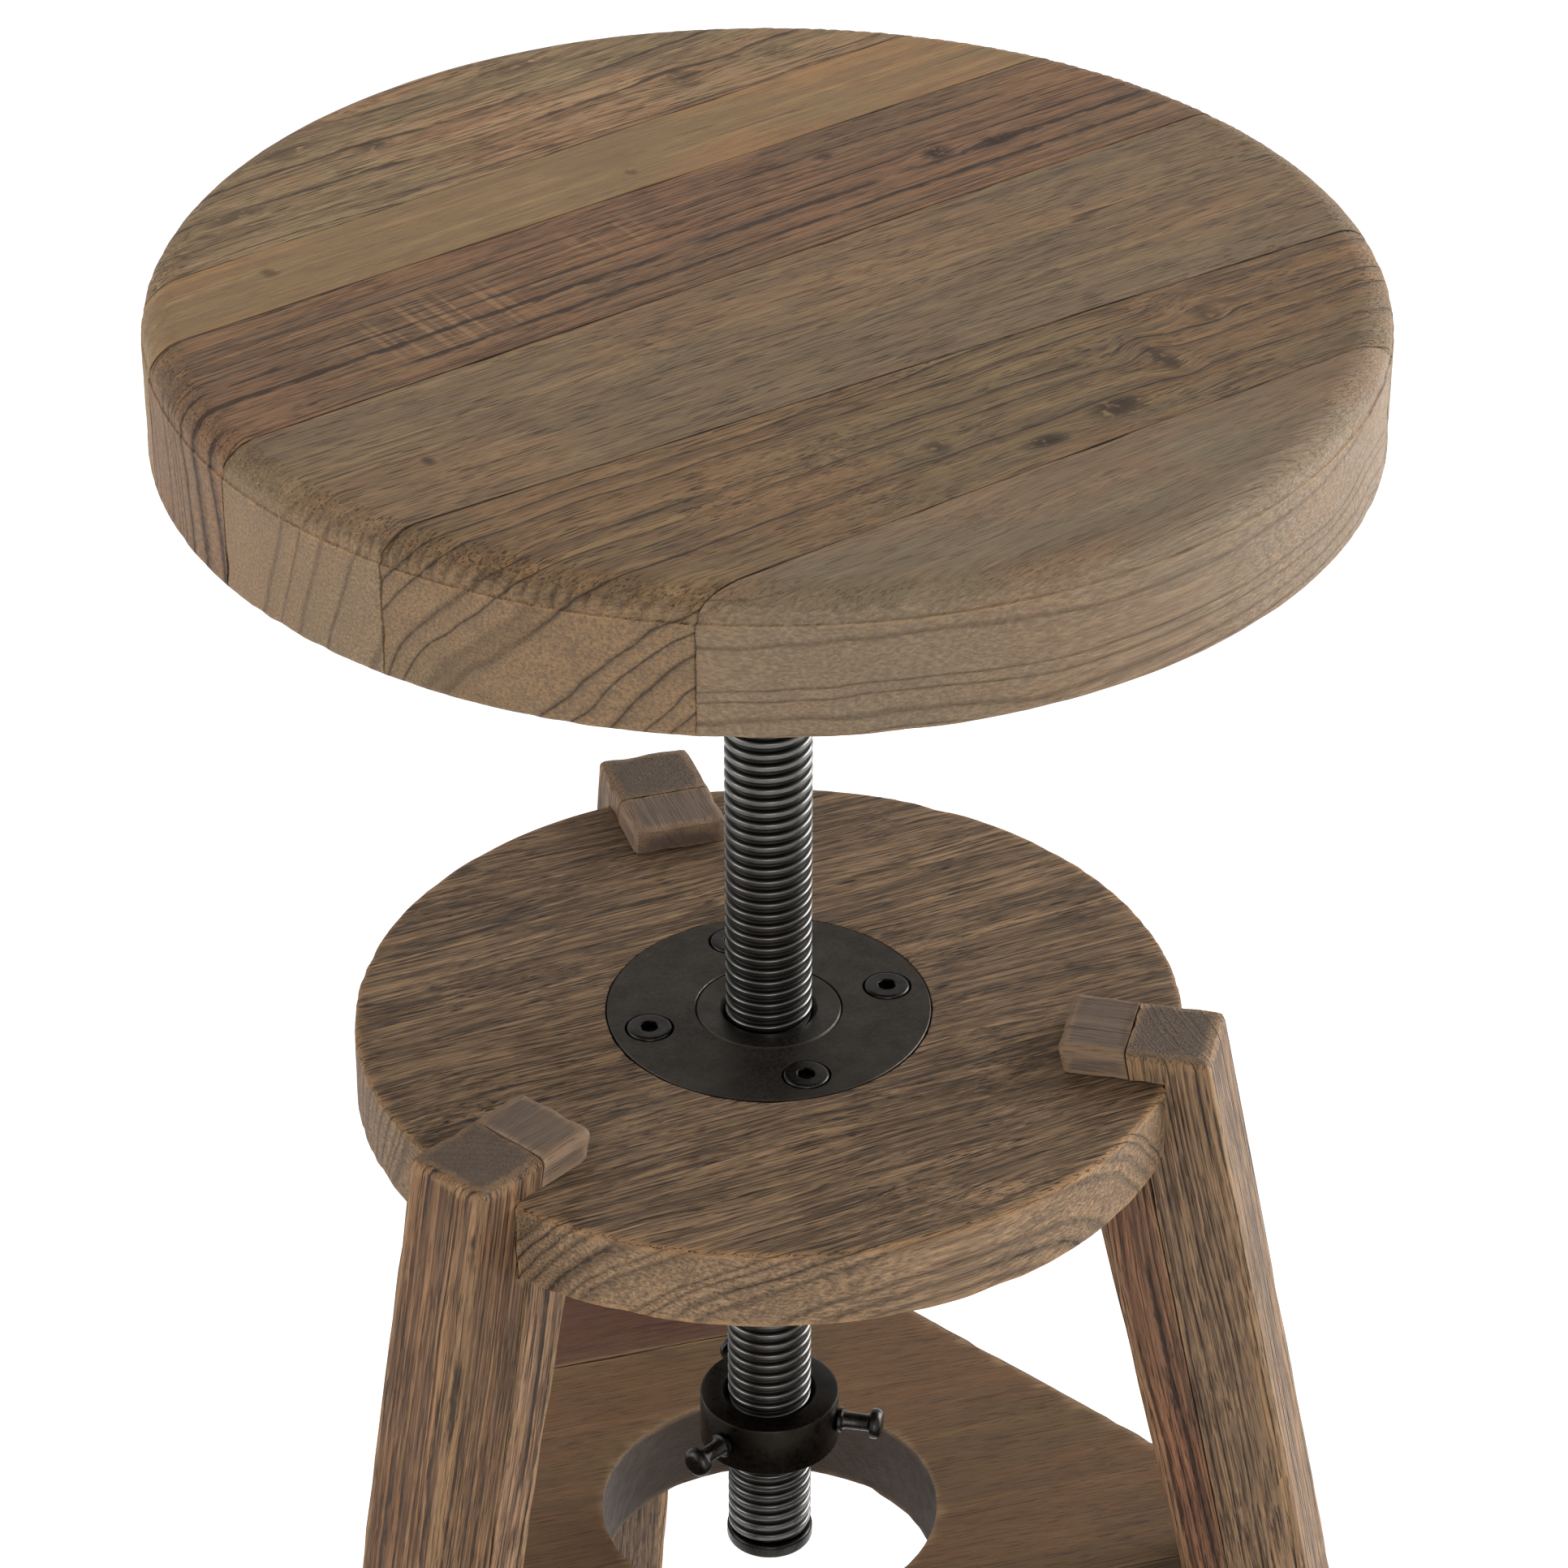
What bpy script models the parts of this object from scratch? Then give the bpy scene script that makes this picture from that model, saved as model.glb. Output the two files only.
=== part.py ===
"""Adjustable swivel stool: a round board seat on a threaded steel screw, carried by a three-legged
wooden frame. Turning the seat winds the screw through a flanged nut in the leg disc. A lock collar
with three finger handles winds along the screw below the disc.

Blender 4.5, metres, +Z up, feet on Z = 0. Everything is laid out round the screw's axis. The axis
itself stands a little in front of the origin, because the origin is the middle of the stool's box.
"""

from math import ceil, cos, pi, radians, sin, sqrt

import bmesh
import bpy
from mathutils import Vector

# ---------------------------------------------------------------- driving dimensions
GAP = 0.0003  # between pieces that touch
RUNNING = 0.0004  # round the screw, in each bore it passes
FACET_DEPTH = 0.00012  # how far a flat facet may fall short of its true circle
OVER = 0.005  # how far a cutter runs past what it cuts
EASE = 0.0008  # chamfer on a machined edge
FINE_EASE = 0.0004  # the same where a piece lies flush or is small
CREASE = 35  # degrees past which an edge is drawn sharp

# Heights are measured from the floor.
DISC_TOP = 0.450
SEAT_LIFT = 0.2023  # seat's underside above the disc's top, as it stands
SHELF_DROP = 0.1914  # shelf's top below the disc's top

# Seat: six edge-glued boards, turned round.
SEAT_RADIUS = 0.175
SEAT_THICKNESS = 0.0433
SEAT_TOP_ROUND = 0.0085
SEAT_BOTTOM_ROUND = 0.0025
# Its glue lines, from the back: how far each passes from the screw's axis, and its turn from X in degrees.
SEAT_JOINTS = ((0.1024, 20.6), (0.0680, 19.5), (0.0092, 19.6), (-0.0640, 16.1), (-0.1286, 19.3))

# Screw and the plate on its top end.
SCREW_RADIUS = 0.0131
SCREW_CHAMFER = 0.0015
SCREW_BELOW_DISC = 0.1985  # screw's lower end below the disc's top
PLATE_RADIUS = 0.060
PLATE_THICKNESS = 0.005
BOSS_RADIUS = 0.019
BOSS_HEIGHT = 0.009
PLATE_SCREW_CIRCLE = 0.046
PLATE_SCREW_LENGTH = 0.032
PLATE_SCREW_RADIUS = 0.0024
PLATE_SCREW_HEAD = 0.0048
PLATE_SCREW_TAPER = 0.006
PLATE_SCREW_TIP = 0.0007

# End stop under the screw.
STOP_RADIUS = 0.0136
STOP_THICKNESS = 0.0048
STOP_BOLT_RADIUS = 0.003
STOP_BOLT_HEAD = 0.0058
STOP_BOLT_LENGTH = 0.016

# Lock collar and its handles.
COLLAR_RADIUS = 0.0218
COLLAR_HEIGHT = 0.018
COLLAR_DROP = 0.1455  # collar's top below the disc's top
COLLAR_CHAMFER = 0.0009
HANDLE_REACH = 0.0362  # screw's axis to the handle's outer end
HANDLE_RADIUS = 0.0027
HANDLE_HEAD = 0.0049
HANDLE_HEAD_DEPTH = 0.0038
HANDLE_ROOT = 0.0040
HANDLE_ROOT_LENGTH = 0.0008
HANDLE_ROOT_TAPER = 0.0012
HANDLE_DOME = ((0.0027, 0.0004), (0.0044, 0.0014), (0.0049, 0.0026))  # radius, and depth below its end
HANDLE_AZIMUTHS = [radians(-28 + 120 * k) for k in range(3)]

# Leg disc with the flanged nut let into its top.
DISC_RADIUS = 0.125
DISC_THICKNESS = 0.0264
DISC_ROUND = 0.002
FLANGE_RADIUS = 0.0489
FLANGE_THICKNESS = 0.005
HUB_RADIUS = 0.022
HUB_HEAD = 0.0025  # depth of the hub's wide top, which hangs on the flange's ledge
HUB_NECK = 0.0195
BORE_MOUTH = 0.0012  # chamfer where the screw enters a bore
BOLT_CIRCLE = 0.0375
BOLT_AZIMUTHS = [radians(90 * k) for k in range(4)]
BOLT_HEAD_RADIUS = 0.00685
BOLT_HEAD_DEPTH = 0.0034
BOLT_PROUD = 0.0006
BOLT_EASE = 0.0009
BOLT_EASE_TOP = 0.00027
BOLT_RADIUS = 0.003
BOLT_LENGTH = 0.0185
BOLT_HEX = 0.005  # across flats
BOLT_HEX_DEPTH = 0.0022
TNUT_FLANGE = 0.0095
TNUT_SHEET = 0.0015
TNUT_BARREL = 0.005
TNUT_LENGTH = 0.013

# Legs: an outer and an inner board, glued, and the hook that is left above the disc.
LEG_AZIMUTHS = [radians(90 + 120 * k) for k in range(3)]
LEG_WIDTH = 0.030
LEG_RISE = 0.0095  # leg's top above the disc's top
LEG_TOP_RADIUS = 0.1365  # screw's axis to the leg's outer face
LEG_TOP_DEPTH = 0.0465
FOOT_RADIUS = 0.2305
FOOT_DEPTH = 0.034
OUTER_BOARD_DEPTH = 0.0255
LEG_ROUND = 0.0024
LEG_SEAT_RADIUS = 0.1230  # flat on the disc's rim that the leg is let on to
GLIDE_RADIUS = 0.011
GLIDE_HEIGHT = 0.005
GLIDE_PIN_RADIUS = 0.0014
GLIDE_PIN_LENGTH = 0.012
GLIDE_PIN_TAPER = 0.002
GLIDE_INSET = 0.001  # glide's middle inside the outer board's
GLIDE_EASE = 0.0012

# Shelf: three boards, a triangle with its corners housed in the legs.
SHELF_THICKNESS = 0.029
SHELF_EDGE = 0.1075  # screw's axis to each straight edge
SHELF_END_RADIUS = 0.146  # screw's axis to each cut corner
SHELF_HOLE_RADIUS = 0.0532
SHELF_JOINTS = ((0.0875, 0), (-0.0638, 0))  # glue lines, as the seat's
SHELF_ROUND = 0.0018

# Glued dowels between the legs and what they carry.
DOWEL_RADIUS = 0.004
DOWEL_CHAMFER = 0.0008
DISC_DOWEL_LENGTH = 0.028
DISC_DOWEL_IN_LEG = 0.0095
SHELF_DOWEL_LENGTH = 0.034
SHELF_DOWEL_IN_LEG = 0.019

# ---------------------------------------------------------------- sizes that follow
SCREW_AXIS_Y = (SEAT_RADIUS - FOOT_RADIUS) / 2  # puts the origin in the middle of the stool's box
DISC_BOTTOM = DISC_TOP - DISC_THICKNESS
SEAT_BOTTOM = DISC_TOP + SEAT_LIFT
SEAT_TOP = SEAT_BOTTOM + SEAT_THICKNESS
PLATE_TOP = SEAT_BOTTOM - GAP
PLATE_BOTTOM = PLATE_TOP - PLATE_THICKNESS
SCREW_BOTTOM = DISC_TOP - SCREW_BELOW_DISC
BORE_RADIUS = SCREW_RADIUS + RUNNING
COLLAR_TOP = DISC_TOP - COLLAR_DROP
SHELF_TOP = DISC_TOP - SHELF_DROP
SHELF_BOTTOM = SHELF_TOP - SHELF_THICKNESS
LEG_TOP = DISC_TOP + LEG_RISE
FOOT = GLIDE_HEIGHT + GAP


# ---------------------------------------------------------------- tools
def clear_scene():
    for obj in list(bpy.data.objects):
        bpy.data.objects.remove(obj, do_unlink=True)


def material(name, colour, roughness, metallic=0.0):
    """A plain finish; colour is linear red, green, blue."""
    made = bpy.data.materials.new(name)
    made.use_nodes = True
    shader = made.node_tree.nodes["Principled BSDF"]
    shader.inputs["Base Color"].default_value = (*colour, 1.0)
    shader.inputs["Roughness"].default_value = roughness
    shader.inputs["Metallic"].default_value = metallic
    made.diffuse_color = (*colour, 1.0)
    return made


def empty(name, location=(0, 0, 0), turn=0.0, parent=None):
    made = bpy.data.objects.new(name, None)
    made.location = location
    made.rotation_euler = (0, 0, turn)
    made.parent = parent
    bpy.context.scene.collection.objects.link(made)
    return made


def place(name, mesh, parent, finish=None, location=(0, 0, 0), rotation=(0, 0, 0)):
    """One named object that shows this mesh."""
    made = bpy.data.objects.new(name, mesh)
    made.location = location
    made.rotation_euler = rotation
    made.parent = parent
    if finish and not mesh.materials:
        mesh.materials.append(finish)
    bpy.context.scene.collection.objects.link(made)
    return made


def finished(bm, name, smooth=True):
    """A mesh from this bmesh, with its faces turned outwards."""
    bmesh.ops.recalc_face_normals(bm, faces=bm.faces)
    mesh = bpy.data.meshes.new(name)
    bm.to_mesh(mesh)
    bm.free()
    if smooth:
        mesh.shade_smooth()
        mesh.set_sharp_from_angle(angle=radians(CREASE))
    return mesh


def arc(centre, radius, start, end, steps):
    """Points along part of a circle, as pairs; angles in degrees."""
    turns = [radians(start + (end - start) * k / steps) for k in range(steps + 1)]
    return [(centre[0] + radius * cos(t), centre[1] + radius * sin(t)) for t in turns]


def facets(radius):
    """How many sides stand for a circle of this radius, in fours."""
    return max(12, 4 * ceil(pi * sqrt(radius / (2 * FACET_DEPTH)) / 4))


def turned(profile, segments=None):
    """A bmesh spun about Z from a profile of (radius, height) pairs. A profile that has a point on the
    axis is solid there; any other is closed on itself, so it leaves a bore."""
    segments = segments or facets(max(radius for radius, _ in profile))
    bm = bmesh.new()
    verts = [bm.verts.new((radius, 0, height)) for radius, height in profile]
    for one, other in zip(verts, verts[1:]):
        bm.edges.new((one, other))
    if all(radius > 0 for radius, _ in profile):
        bm.edges.new((verts[-1], verts[0]))
    bmesh.ops.spin(
        bm,
        geom=bm.verts[:] + bm.edges[:],
        cent=(0, 0, 0),
        axis=(0, 0, 1),
        angle=2 * pi,
        steps=segments,
        use_merge=True,
    )
    bmesh.ops.remove_doubles(bm, verts=bm.verts, dist=1e-6)
    return bm


def rod(radius, low, high, segments=None, chamfer=0.0):
    """A plain solid rod about Z."""
    profile = [(0, high), (radius - chamfer, high)]
    if chamfer:
        profile += [(radius, high - chamfer), (radius, low + chamfer)]
    profile += [(radius - chamfer, low), (0, low)]
    return turned(profile, segments)


def prism(outline, low, high, rounding=0.0, hidden=()):
    """An outline of (x, y) pairs extruded along Z, its exposed edges rounded. hidden numbers the
    outline's sides that meet another piece, whose edges stay sharp."""
    bm = bmesh.new()
    base = bm.faces.new([bm.verts.new((x, y, low)) for x, y in outline])
    made = bmesh.ops.extrude_face_region(bm, geom=[base])
    for vert in (v for v in made["geom"] if isinstance(v, bmesh.types.BMVert)):
        vert.co.z = high
    bmesh.ops.recalc_face_normals(bm, faces=bm.faces)
    if not rounding:
        return bm
    covered = []
    for number in hidden:
        (ax, ay), (bx, by) = outline[number], outline[(number + 1) % len(outline)]
        covered.append(Vector(((ax + bx) / 2, (ay + by) / 2, (low + high) / 2)))
    faces = {
        face for face in bm.faces
        if all((face.calc_center_median() - middle).length > 1e-6 for middle in covered)
    }
    edges = [edge for edge in bm.edges if all(face in faces for face in edge.link_faces)]
    bmesh.ops.bevel(bm, geom=edges, offset=rounding, segments=2, profile=0.5, affect="EDGES")
    return bm


def behind(joint, x, y):
    """How far behind a glue line a spot lies."""
    offset, turn = joint
    return y * cos(radians(turn)) - x * sin(radians(turn)) - offset


def keep_between(bm, front, back):
    """Cuts a closed bmesh to the board between two glue lines, half a gap short of each, and closes the
    cuts. None stands for no line."""
    for joint, way in ((front, -1), (back, 1)):
        if joint is None:
            continue
        offset, turn = joint[0] - way * GAP / 2, radians(joint[1])
        across = Vector((-sin(turn), cos(turn), 0))
        geom = bm.verts[:] + bm.edges[:] + bm.faces[:]
        bmesh.ops.bisect_plane(
            bm, geom=geom, dist=1e-7, plane_co=across * offset, plane_no=across * way, clear_outer=True
        )
        rims = [edge for edge in bm.edges if edge.is_boundary]
        bmesh.ops.holes_fill(bm, edges=rims)
    return bm


def cutter(name, bm, parent, location=(0, 0, 0), rotation=(0, 0, 0)):
    made = place(name, finished(bm, name, smooth=False), parent, None, location, rotation)
    made.hide_render = True
    made.display_type = "WIRE"
    return made


def cut(obj, *cutters):
    for other in cutters:
        modifier = obj.modifiers.new(other.name, "BOOLEAN")
        modifier.operation = "DIFFERENCE"
        modifier.solver = "EXACT"
        modifier.object = other


def polar(radius, azimuth, height=0.0):
    return (radius * cos(azimuth), radius * sin(azimuth), height)


# ---------------------------------------------------------------- seat
def seat_profile():
    """Half the seat's section: the rounded top edge, the straight side and the eased bottom edge."""
    top = arc((SEAT_RADIUS - SEAT_TOP_ROUND, SEAT_TOP - SEAT_TOP_ROUND), SEAT_TOP_ROUND, 90, 0, 4)
    low = (SEAT_RADIUS - SEAT_BOTTOM_ROUND, SEAT_BOTTOM + SEAT_BOTTOM_ROUND)
    bottom = arc(low, SEAT_BOTTOM_ROUND, 0, -90, 2)
    return [(0, SEAT_TOP)] + top + bottom + [(0, SEAT_BOTTOM)]


def build_seat(parent, finishes):
    """Six boards, numbered from the back, each one slice of the same turned disc, and the pilot holes
    for the plate's four wood screws."""
    joints = [None, *SEAT_JOINTS, None]
    depth = PLATE_SCREW_LENGTH - PLATE_THICKNESS + 2 * GAP
    for number, (back, front) in enumerate(zip(joints, joints[1:]), start=1):
        name = f"seat_board_{number}"
        bm = keep_between(turned(seat_profile()), front, back)
        board = place(name, finished(bm, name), parent, finishes[number - 1])
        for screw, (x, y, _) in enumerate(plate_screw_spots(), start=1):
            if (front and behind(front, x, y) < 0) or (back and behind(back, x, y) > 0):
                continue
            hole = rod(PLATE_SCREW_RADIUS + GAP, SEAT_BOTTOM - OVER, SEAT_BOTTOM + depth)
            cut(board, cutter(f"pilot_{screw}", hole, parent, (x, y, 0)))


def plate_screw_spots():
    return [polar(PLATE_SCREW_CIRCLE, radians(45 + 90 * k)) for k in range(4)]


def build_plate(parent, finish):
    """The steel plate under the seat, with the boss that the screw is welded into."""
    boss_bottom = PLATE_BOTTOM - BOSS_HEIGHT
    profile = [
        (BORE_RADIUS, PLATE_TOP),
        (PLATE_RADIUS, PLATE_TOP),
        (PLATE_RADIUS, PLATE_BOTTOM + EASE),
        (PLATE_RADIUS - EASE, PLATE_BOTTOM),
        (BOSS_RADIUS, PLATE_BOTTOM),
        (BOSS_RADIUS, boss_bottom + EASE),
        (BOSS_RADIUS - EASE, boss_bottom),
        (BORE_RADIUS, boss_bottom),
    ]
    plate = place("seat_mounting_plate", finished(turned(profile), "seat_mounting_plate"), parent, finish)
    sink = PLATE_SCREW_HEAD - PLATE_SCREW_RADIUS
    shank = PLATE_SCREW_RADIUS + GAP
    head = PLATE_SCREW_HEAD + GAP
    profile = [
        (0, PLATE_TOP + OVER),
        (shank, PLATE_TOP + OVER),
        (shank, PLATE_BOTTOM + sink),
        (head, PLATE_BOTTOM),
        (head, PLATE_BOTTOM - OVER),
        (0, PLATE_BOTTOM - OVER),
    ]
    for number, (x, y, _) in enumerate(plate_screw_spots(), start=1):
        cut(plate, cutter(f"countersink_{number}", turned(profile), parent, (x, y, 0)))


def build_plate_screws(parent, finish):
    """Countersunk wood screws, heads down, flush with the plate's underside."""
    sink = PLATE_SCREW_HEAD - PLATE_SCREW_RADIUS
    top = PLATE_BOTTOM + PLATE_SCREW_LENGTH
    profile = [
        (0, top),
        (PLATE_SCREW_TIP, top),
        (PLATE_SCREW_RADIUS, top - PLATE_SCREW_TAPER),
        (PLATE_SCREW_RADIUS, PLATE_BOTTOM + sink),
        (PLATE_SCREW_HEAD, PLATE_BOTTOM),
        (0, PLATE_BOTTOM),
    ]
    mesh = finished(turned(profile), "plate_screw")
    for number, (x, y, _) in enumerate(plate_screw_spots(), start=1):
        place(f"plate_screw_{number}", mesh, parent, finish, (x, y, 0))


# ---------------------------------------------------------------- screw, end stop and collar
def build_screw(parent, finish):
    """The screw as a plain rod of its thread's outer diameter, tapped at its lower end."""
    tapped = STOP_BOLT_RADIUS + GAP
    depth = STOP_BOLT_LENGTH
    top = PLATE_TOP
    profile = [
        (0, top),
        (SCREW_RADIUS - SCREW_CHAMFER, top),
        (SCREW_RADIUS, top - SCREW_CHAMFER),
        (SCREW_RADIUS, SCREW_BOTTOM + SCREW_CHAMFER),
        (SCREW_RADIUS - SCREW_CHAMFER, SCREW_BOTTOM),
        (tapped, SCREW_BOTTOM),
        (tapped, SCREW_BOTTOM + depth),
        (0, SCREW_BOTTOM + depth),
    ]
    place("height_screw", finished(turned(profile), "height_screw"), parent, finish)


def build_end_stop(stop_parent, bolt_parent, finish, bolt_finish):
    """A thick washer that keeps the screw from leaving the nut, and the bolt that holds it."""
    top = SCREW_BOTTOM - GAP
    bottom = top - STOP_THICKNESS
    sink = STOP_BOLT_HEAD - STOP_BOLT_RADIUS
    profile = [
        (STOP_BOLT_RADIUS + GAP, top),
        (STOP_RADIUS - EASE, top),
        (STOP_RADIUS, top - EASE),
        (STOP_RADIUS, bottom + EASE),
        (STOP_RADIUS - EASE, bottom),
        (STOP_BOLT_HEAD + GAP, bottom),
        (STOP_BOLT_RADIUS + GAP, bottom + sink),
    ]
    place("end_stop_washer", finished(turned(profile), "end_stop_washer"), stop_parent, finish)
    profile = [
        (0, bottom + STOP_BOLT_LENGTH),
        (STOP_BOLT_RADIUS, bottom + STOP_BOLT_LENGTH),
        (STOP_BOLT_RADIUS, bottom + sink),
        (STOP_BOLT_HEAD, bottom),
        (0, bottom),
    ]
    place("end_stop_bolt", finished(turned(profile), "end_stop_bolt"), bolt_parent, bolt_finish)


def build_collar(ring_parent, handle_parent, finish, handle_finish):
    """The lock collar's ring, and three finger handles that stand out of it like short rivets."""
    low = COLLAR_TOP - COLLAR_HEIGHT
    mouth = BORE_RADIUS + BORE_MOUTH
    rim = COLLAR_RADIUS - COLLAR_CHAMFER
    profile = [
        (mouth, COLLAR_TOP),
        (rim, COLLAR_TOP),
        (COLLAR_RADIUS, COLLAR_TOP - COLLAR_CHAMFER),
        (COLLAR_RADIUS, low + COLLAR_CHAMFER),
        (rim, low),
        (mouth, low),
        (BORE_RADIUS, low + BORE_MOUTH),
        (BORE_RADIUS, COLLAR_TOP - BORE_MOUTH),
    ]
    place("lock_collar", finished(turned(profile), "lock_collar"), ring_parent, finish)
    root = COLLAR_RADIUS + GAP
    neck = HANDLE_REACH - HANDLE_HEAD_DEPTH
    profile = [
        (0, HANDLE_REACH),
        *[(radius, HANDLE_REACH - depth) for radius, depth in HANDLE_DOME],
        (HANDLE_HEAD, neck + FINE_EASE),
        (HANDLE_RADIUS, neck),
        (HANDLE_RADIUS, root + HANDLE_ROOT_LENGTH + HANDLE_ROOT_TAPER),
        (HANDLE_ROOT, root + HANDLE_ROOT_LENGTH),
        (HANDLE_ROOT, root),
        (0, root),
    ]
    mesh = finished(turned(profile), "collar_handle")
    height = COLLAR_TOP - COLLAR_HEIGHT / 2
    for number, azimuth in enumerate(HANDLE_AZIMUTHS, start=1):
        arm = empty(f"handle_{number}_turn", (0, 0, height), azimuth, handle_parent)
        place(f"collar_handle_{number}", mesh, arm, handle_finish, rotation=(0, pi / 2, 0))


# ---------------------------------------------------------------- leg disc and nut
def leg_frame(azimuth, parent, name):
    """An empty whose X points out along one leg."""
    return empty(name, (0, 0, 0), azimuth, parent)


def build_disc(parent, legs, finish):
    """The round board that carries the nut and stands in the legs' housings."""
    recess = FLANGE_THICKNESS + GAP
    neck = HUB_NECK + GAP
    rim = arc((DISC_RADIUS - DISC_ROUND, DISC_TOP - DISC_ROUND), DISC_ROUND, 90, 0, 2)
    rim += arc((DISC_RADIUS - DISC_ROUND, DISC_BOTTOM + DISC_ROUND), DISC_ROUND, 0, -90, 2)
    profile = [(neck, DISC_TOP - recess), (FLANGE_RADIUS + GAP, DISC_TOP - recess)]
    profile += [(FLANGE_RADIUS + GAP, DISC_TOP)] + rim + [(neck, DISC_BOTTOM)]
    disc = place("leg_disc", finished(turned(profile), "leg_disc"), parent, finish)
    for number, azimuth in enumerate(BOLT_AZIMUTHS, start=1):
        bm = rod(TNUT_BARREL + GAP, DISC_BOTTOM - OVER, DISC_TOP)
        cut(disc, cutter(f"tnut_hole_{number}", bm, parent, polar(BOLT_CIRCLE, azimuth)))
    middle = (DISC_TOP + DISC_BOTTOM) / 2
    inner_end = LEG_SEAT_RADIUS + GAP + DISC_DOWEL_IN_LEG - DISC_DOWEL_LENGTH - GAP
    for number, leg in enumerate(legs, start=1):
        half = LEG_WIDTH / 2 + GAP
        far = DISC_RADIUS + OVER
        outline = [(LEG_SEAT_RADIUS, -half), (far, -half), (far, half), (LEG_SEAT_RADIUS, half)]
        bm = prism(outline, DISC_BOTTOM - OVER, DISC_TOP + OVER)
        cut(disc, cutter(f"disc_housing_{number}", bm, leg))
        bm = rod(DOWEL_RADIUS + GAP, inner_end, DISC_RADIUS + OVER)
        hole = cutter(f"disc_dowel_hole_{number}", bm, leg, (0, 0, middle), (0, pi / 2, 0))
        cut(disc, hole)


def build_flange(parent, finish, hub_finish):
    """The flange plate, flush in the disc, and the threaded hub that hangs on its stepped bore."""
    bottom = DISC_TOP - FLANGE_THICKNESS
    ledge = DISC_TOP - HUB_HEAD - GAP
    profile = [
        (HUB_RADIUS + GAP, DISC_TOP),
        (FLANGE_RADIUS - FINE_EASE, DISC_TOP),
        (FLANGE_RADIUS, DISC_TOP - FINE_EASE),
        (FLANGE_RADIUS, bottom),
        (HUB_NECK + GAP, bottom),
        (HUB_NECK + GAP, ledge),
        (HUB_RADIUS + GAP, ledge),
    ]
    flange = place("flange_plate", finished(turned(profile), "flange_plate"), parent, finish)
    for number, azimuth in enumerate(BOLT_AZIMUTHS, start=1):
        step = DISC_TOP + BOLT_PROUD - BOLT_HEAD_DEPTH - GAP
        head = BOLT_HEAD_RADIUS + 2 * GAP
        shank = BOLT_RADIUS + GAP
        profile = [
            (0, DISC_TOP + OVER),
            (head, DISC_TOP + OVER),
            (head, step),
            (shank, step),
            (shank, bottom - OVER),
            (0, bottom - OVER),
        ]
        cut(flange, cutter(f"bolt_hole_{number}", turned(profile), parent, polar(BOLT_CIRCLE, azimuth)))
    ease = 0.0005
    profile = [
        (BORE_RADIUS + BORE_MOUTH, DISC_TOP),
        (HUB_RADIUS - ease, DISC_TOP),
        (HUB_RADIUS, DISC_TOP - ease),
        (HUB_RADIUS, DISC_TOP - HUB_HEAD),
        (HUB_NECK, DISC_TOP - HUB_HEAD),
        (HUB_NECK, DISC_BOTTOM),
        (BORE_RADIUS + BORE_MOUTH, DISC_BOTTOM),
        (BORE_RADIUS, DISC_BOTTOM + BORE_MOUTH),
        (BORE_RADIUS, DISC_TOP - BORE_MOUTH),
    ]
    place("nut_hub", finished(turned(profile), "nut_hub"), parent, hub_finish)


def bolt_mesh(parent):
    """A flat-headed bolt about Z, its head's top at Z = 0, with a hexagonal socket."""
    profile = [
        (0, 0),
        (BOLT_HEAD_RADIUS - BOLT_EASE, 0),
        (BOLT_HEAD_RADIUS - BOLT_EASE_TOP, -BOLT_EASE_TOP),
        (BOLT_HEAD_RADIUS, -BOLT_EASE),
        (BOLT_HEAD_RADIUS, -BOLT_HEAD_DEPTH),
        (BOLT_RADIUS, -BOLT_HEAD_DEPTH),
        (BOLT_RADIUS, -BOLT_HEAD_DEPTH - BOLT_LENGTH),
        (0, -BOLT_HEAD_DEPTH - BOLT_LENGTH),
    ]
    blank = place("bolt_blank", finished(turned(profile), "bolt_blank"), parent)
    blank.hide_render = True
    socket = rod(BOLT_HEX / sqrt(3), -BOLT_HEX_DEPTH, OVER, segments=6)
    cut(blank, cutter("bolt_socket", socket, parent))
    bpy.context.view_layer.update()
    graph = bpy.context.evaluated_depsgraph_get()
    mesh = bpy.data.meshes.new_from_object(blank.evaluated_get(graph))
    mesh.name = "flange_bolt"
    bpy.data.objects.remove(blank, do_unlink=True)
    return mesh


def build_bolts(parent, finish, nut_finish):
    """Four bolts through the flange, each into a tee nut under the disc."""
    bolt = bolt_mesh(parent)
    top = DISC_BOTTOM - GAP
    profile = [
        (BOLT_RADIUS + GAP, top - TNUT_SHEET),
        (TNUT_FLANGE, top - TNUT_SHEET),
        (TNUT_FLANGE, top),
        (TNUT_BARREL, top),
        (TNUT_BARREL, top + TNUT_LENGTH),
        (BOLT_RADIUS + GAP, top + TNUT_LENGTH),
    ]
    nut = finished(turned(profile), "tee_nut")
    for number, azimuth in enumerate(BOLT_AZIMUTHS, start=1):
        spot = polar(BOLT_CIRCLE, azimuth, DISC_TOP + BOLT_PROUD)
        place(f"flange_bolt_{number}", bolt, parent, finish, spot, (0, 0, azimuth))
        place(f"tee_nut_{number}", nut, parent, nut_finish, polar(BOLT_CIRCLE, azimuth))


# ---------------------------------------------------------------- legs
def outer_face(height):
    """Screw's axis to the leg's outer face at this height."""
    return FOOT_RADIUS + (LEG_TOP_RADIUS - FOOT_RADIUS) * height / LEG_TOP


def inner_face(height):
    depth = FOOT_DEPTH + (LEG_TOP_DEPTH - FOOT_DEPTH) * height / LEG_TOP
    return outer_face(height) - depth


def glue_line(height):
    return outer_face(height) - OUTER_BOARD_DEPTH


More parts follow.
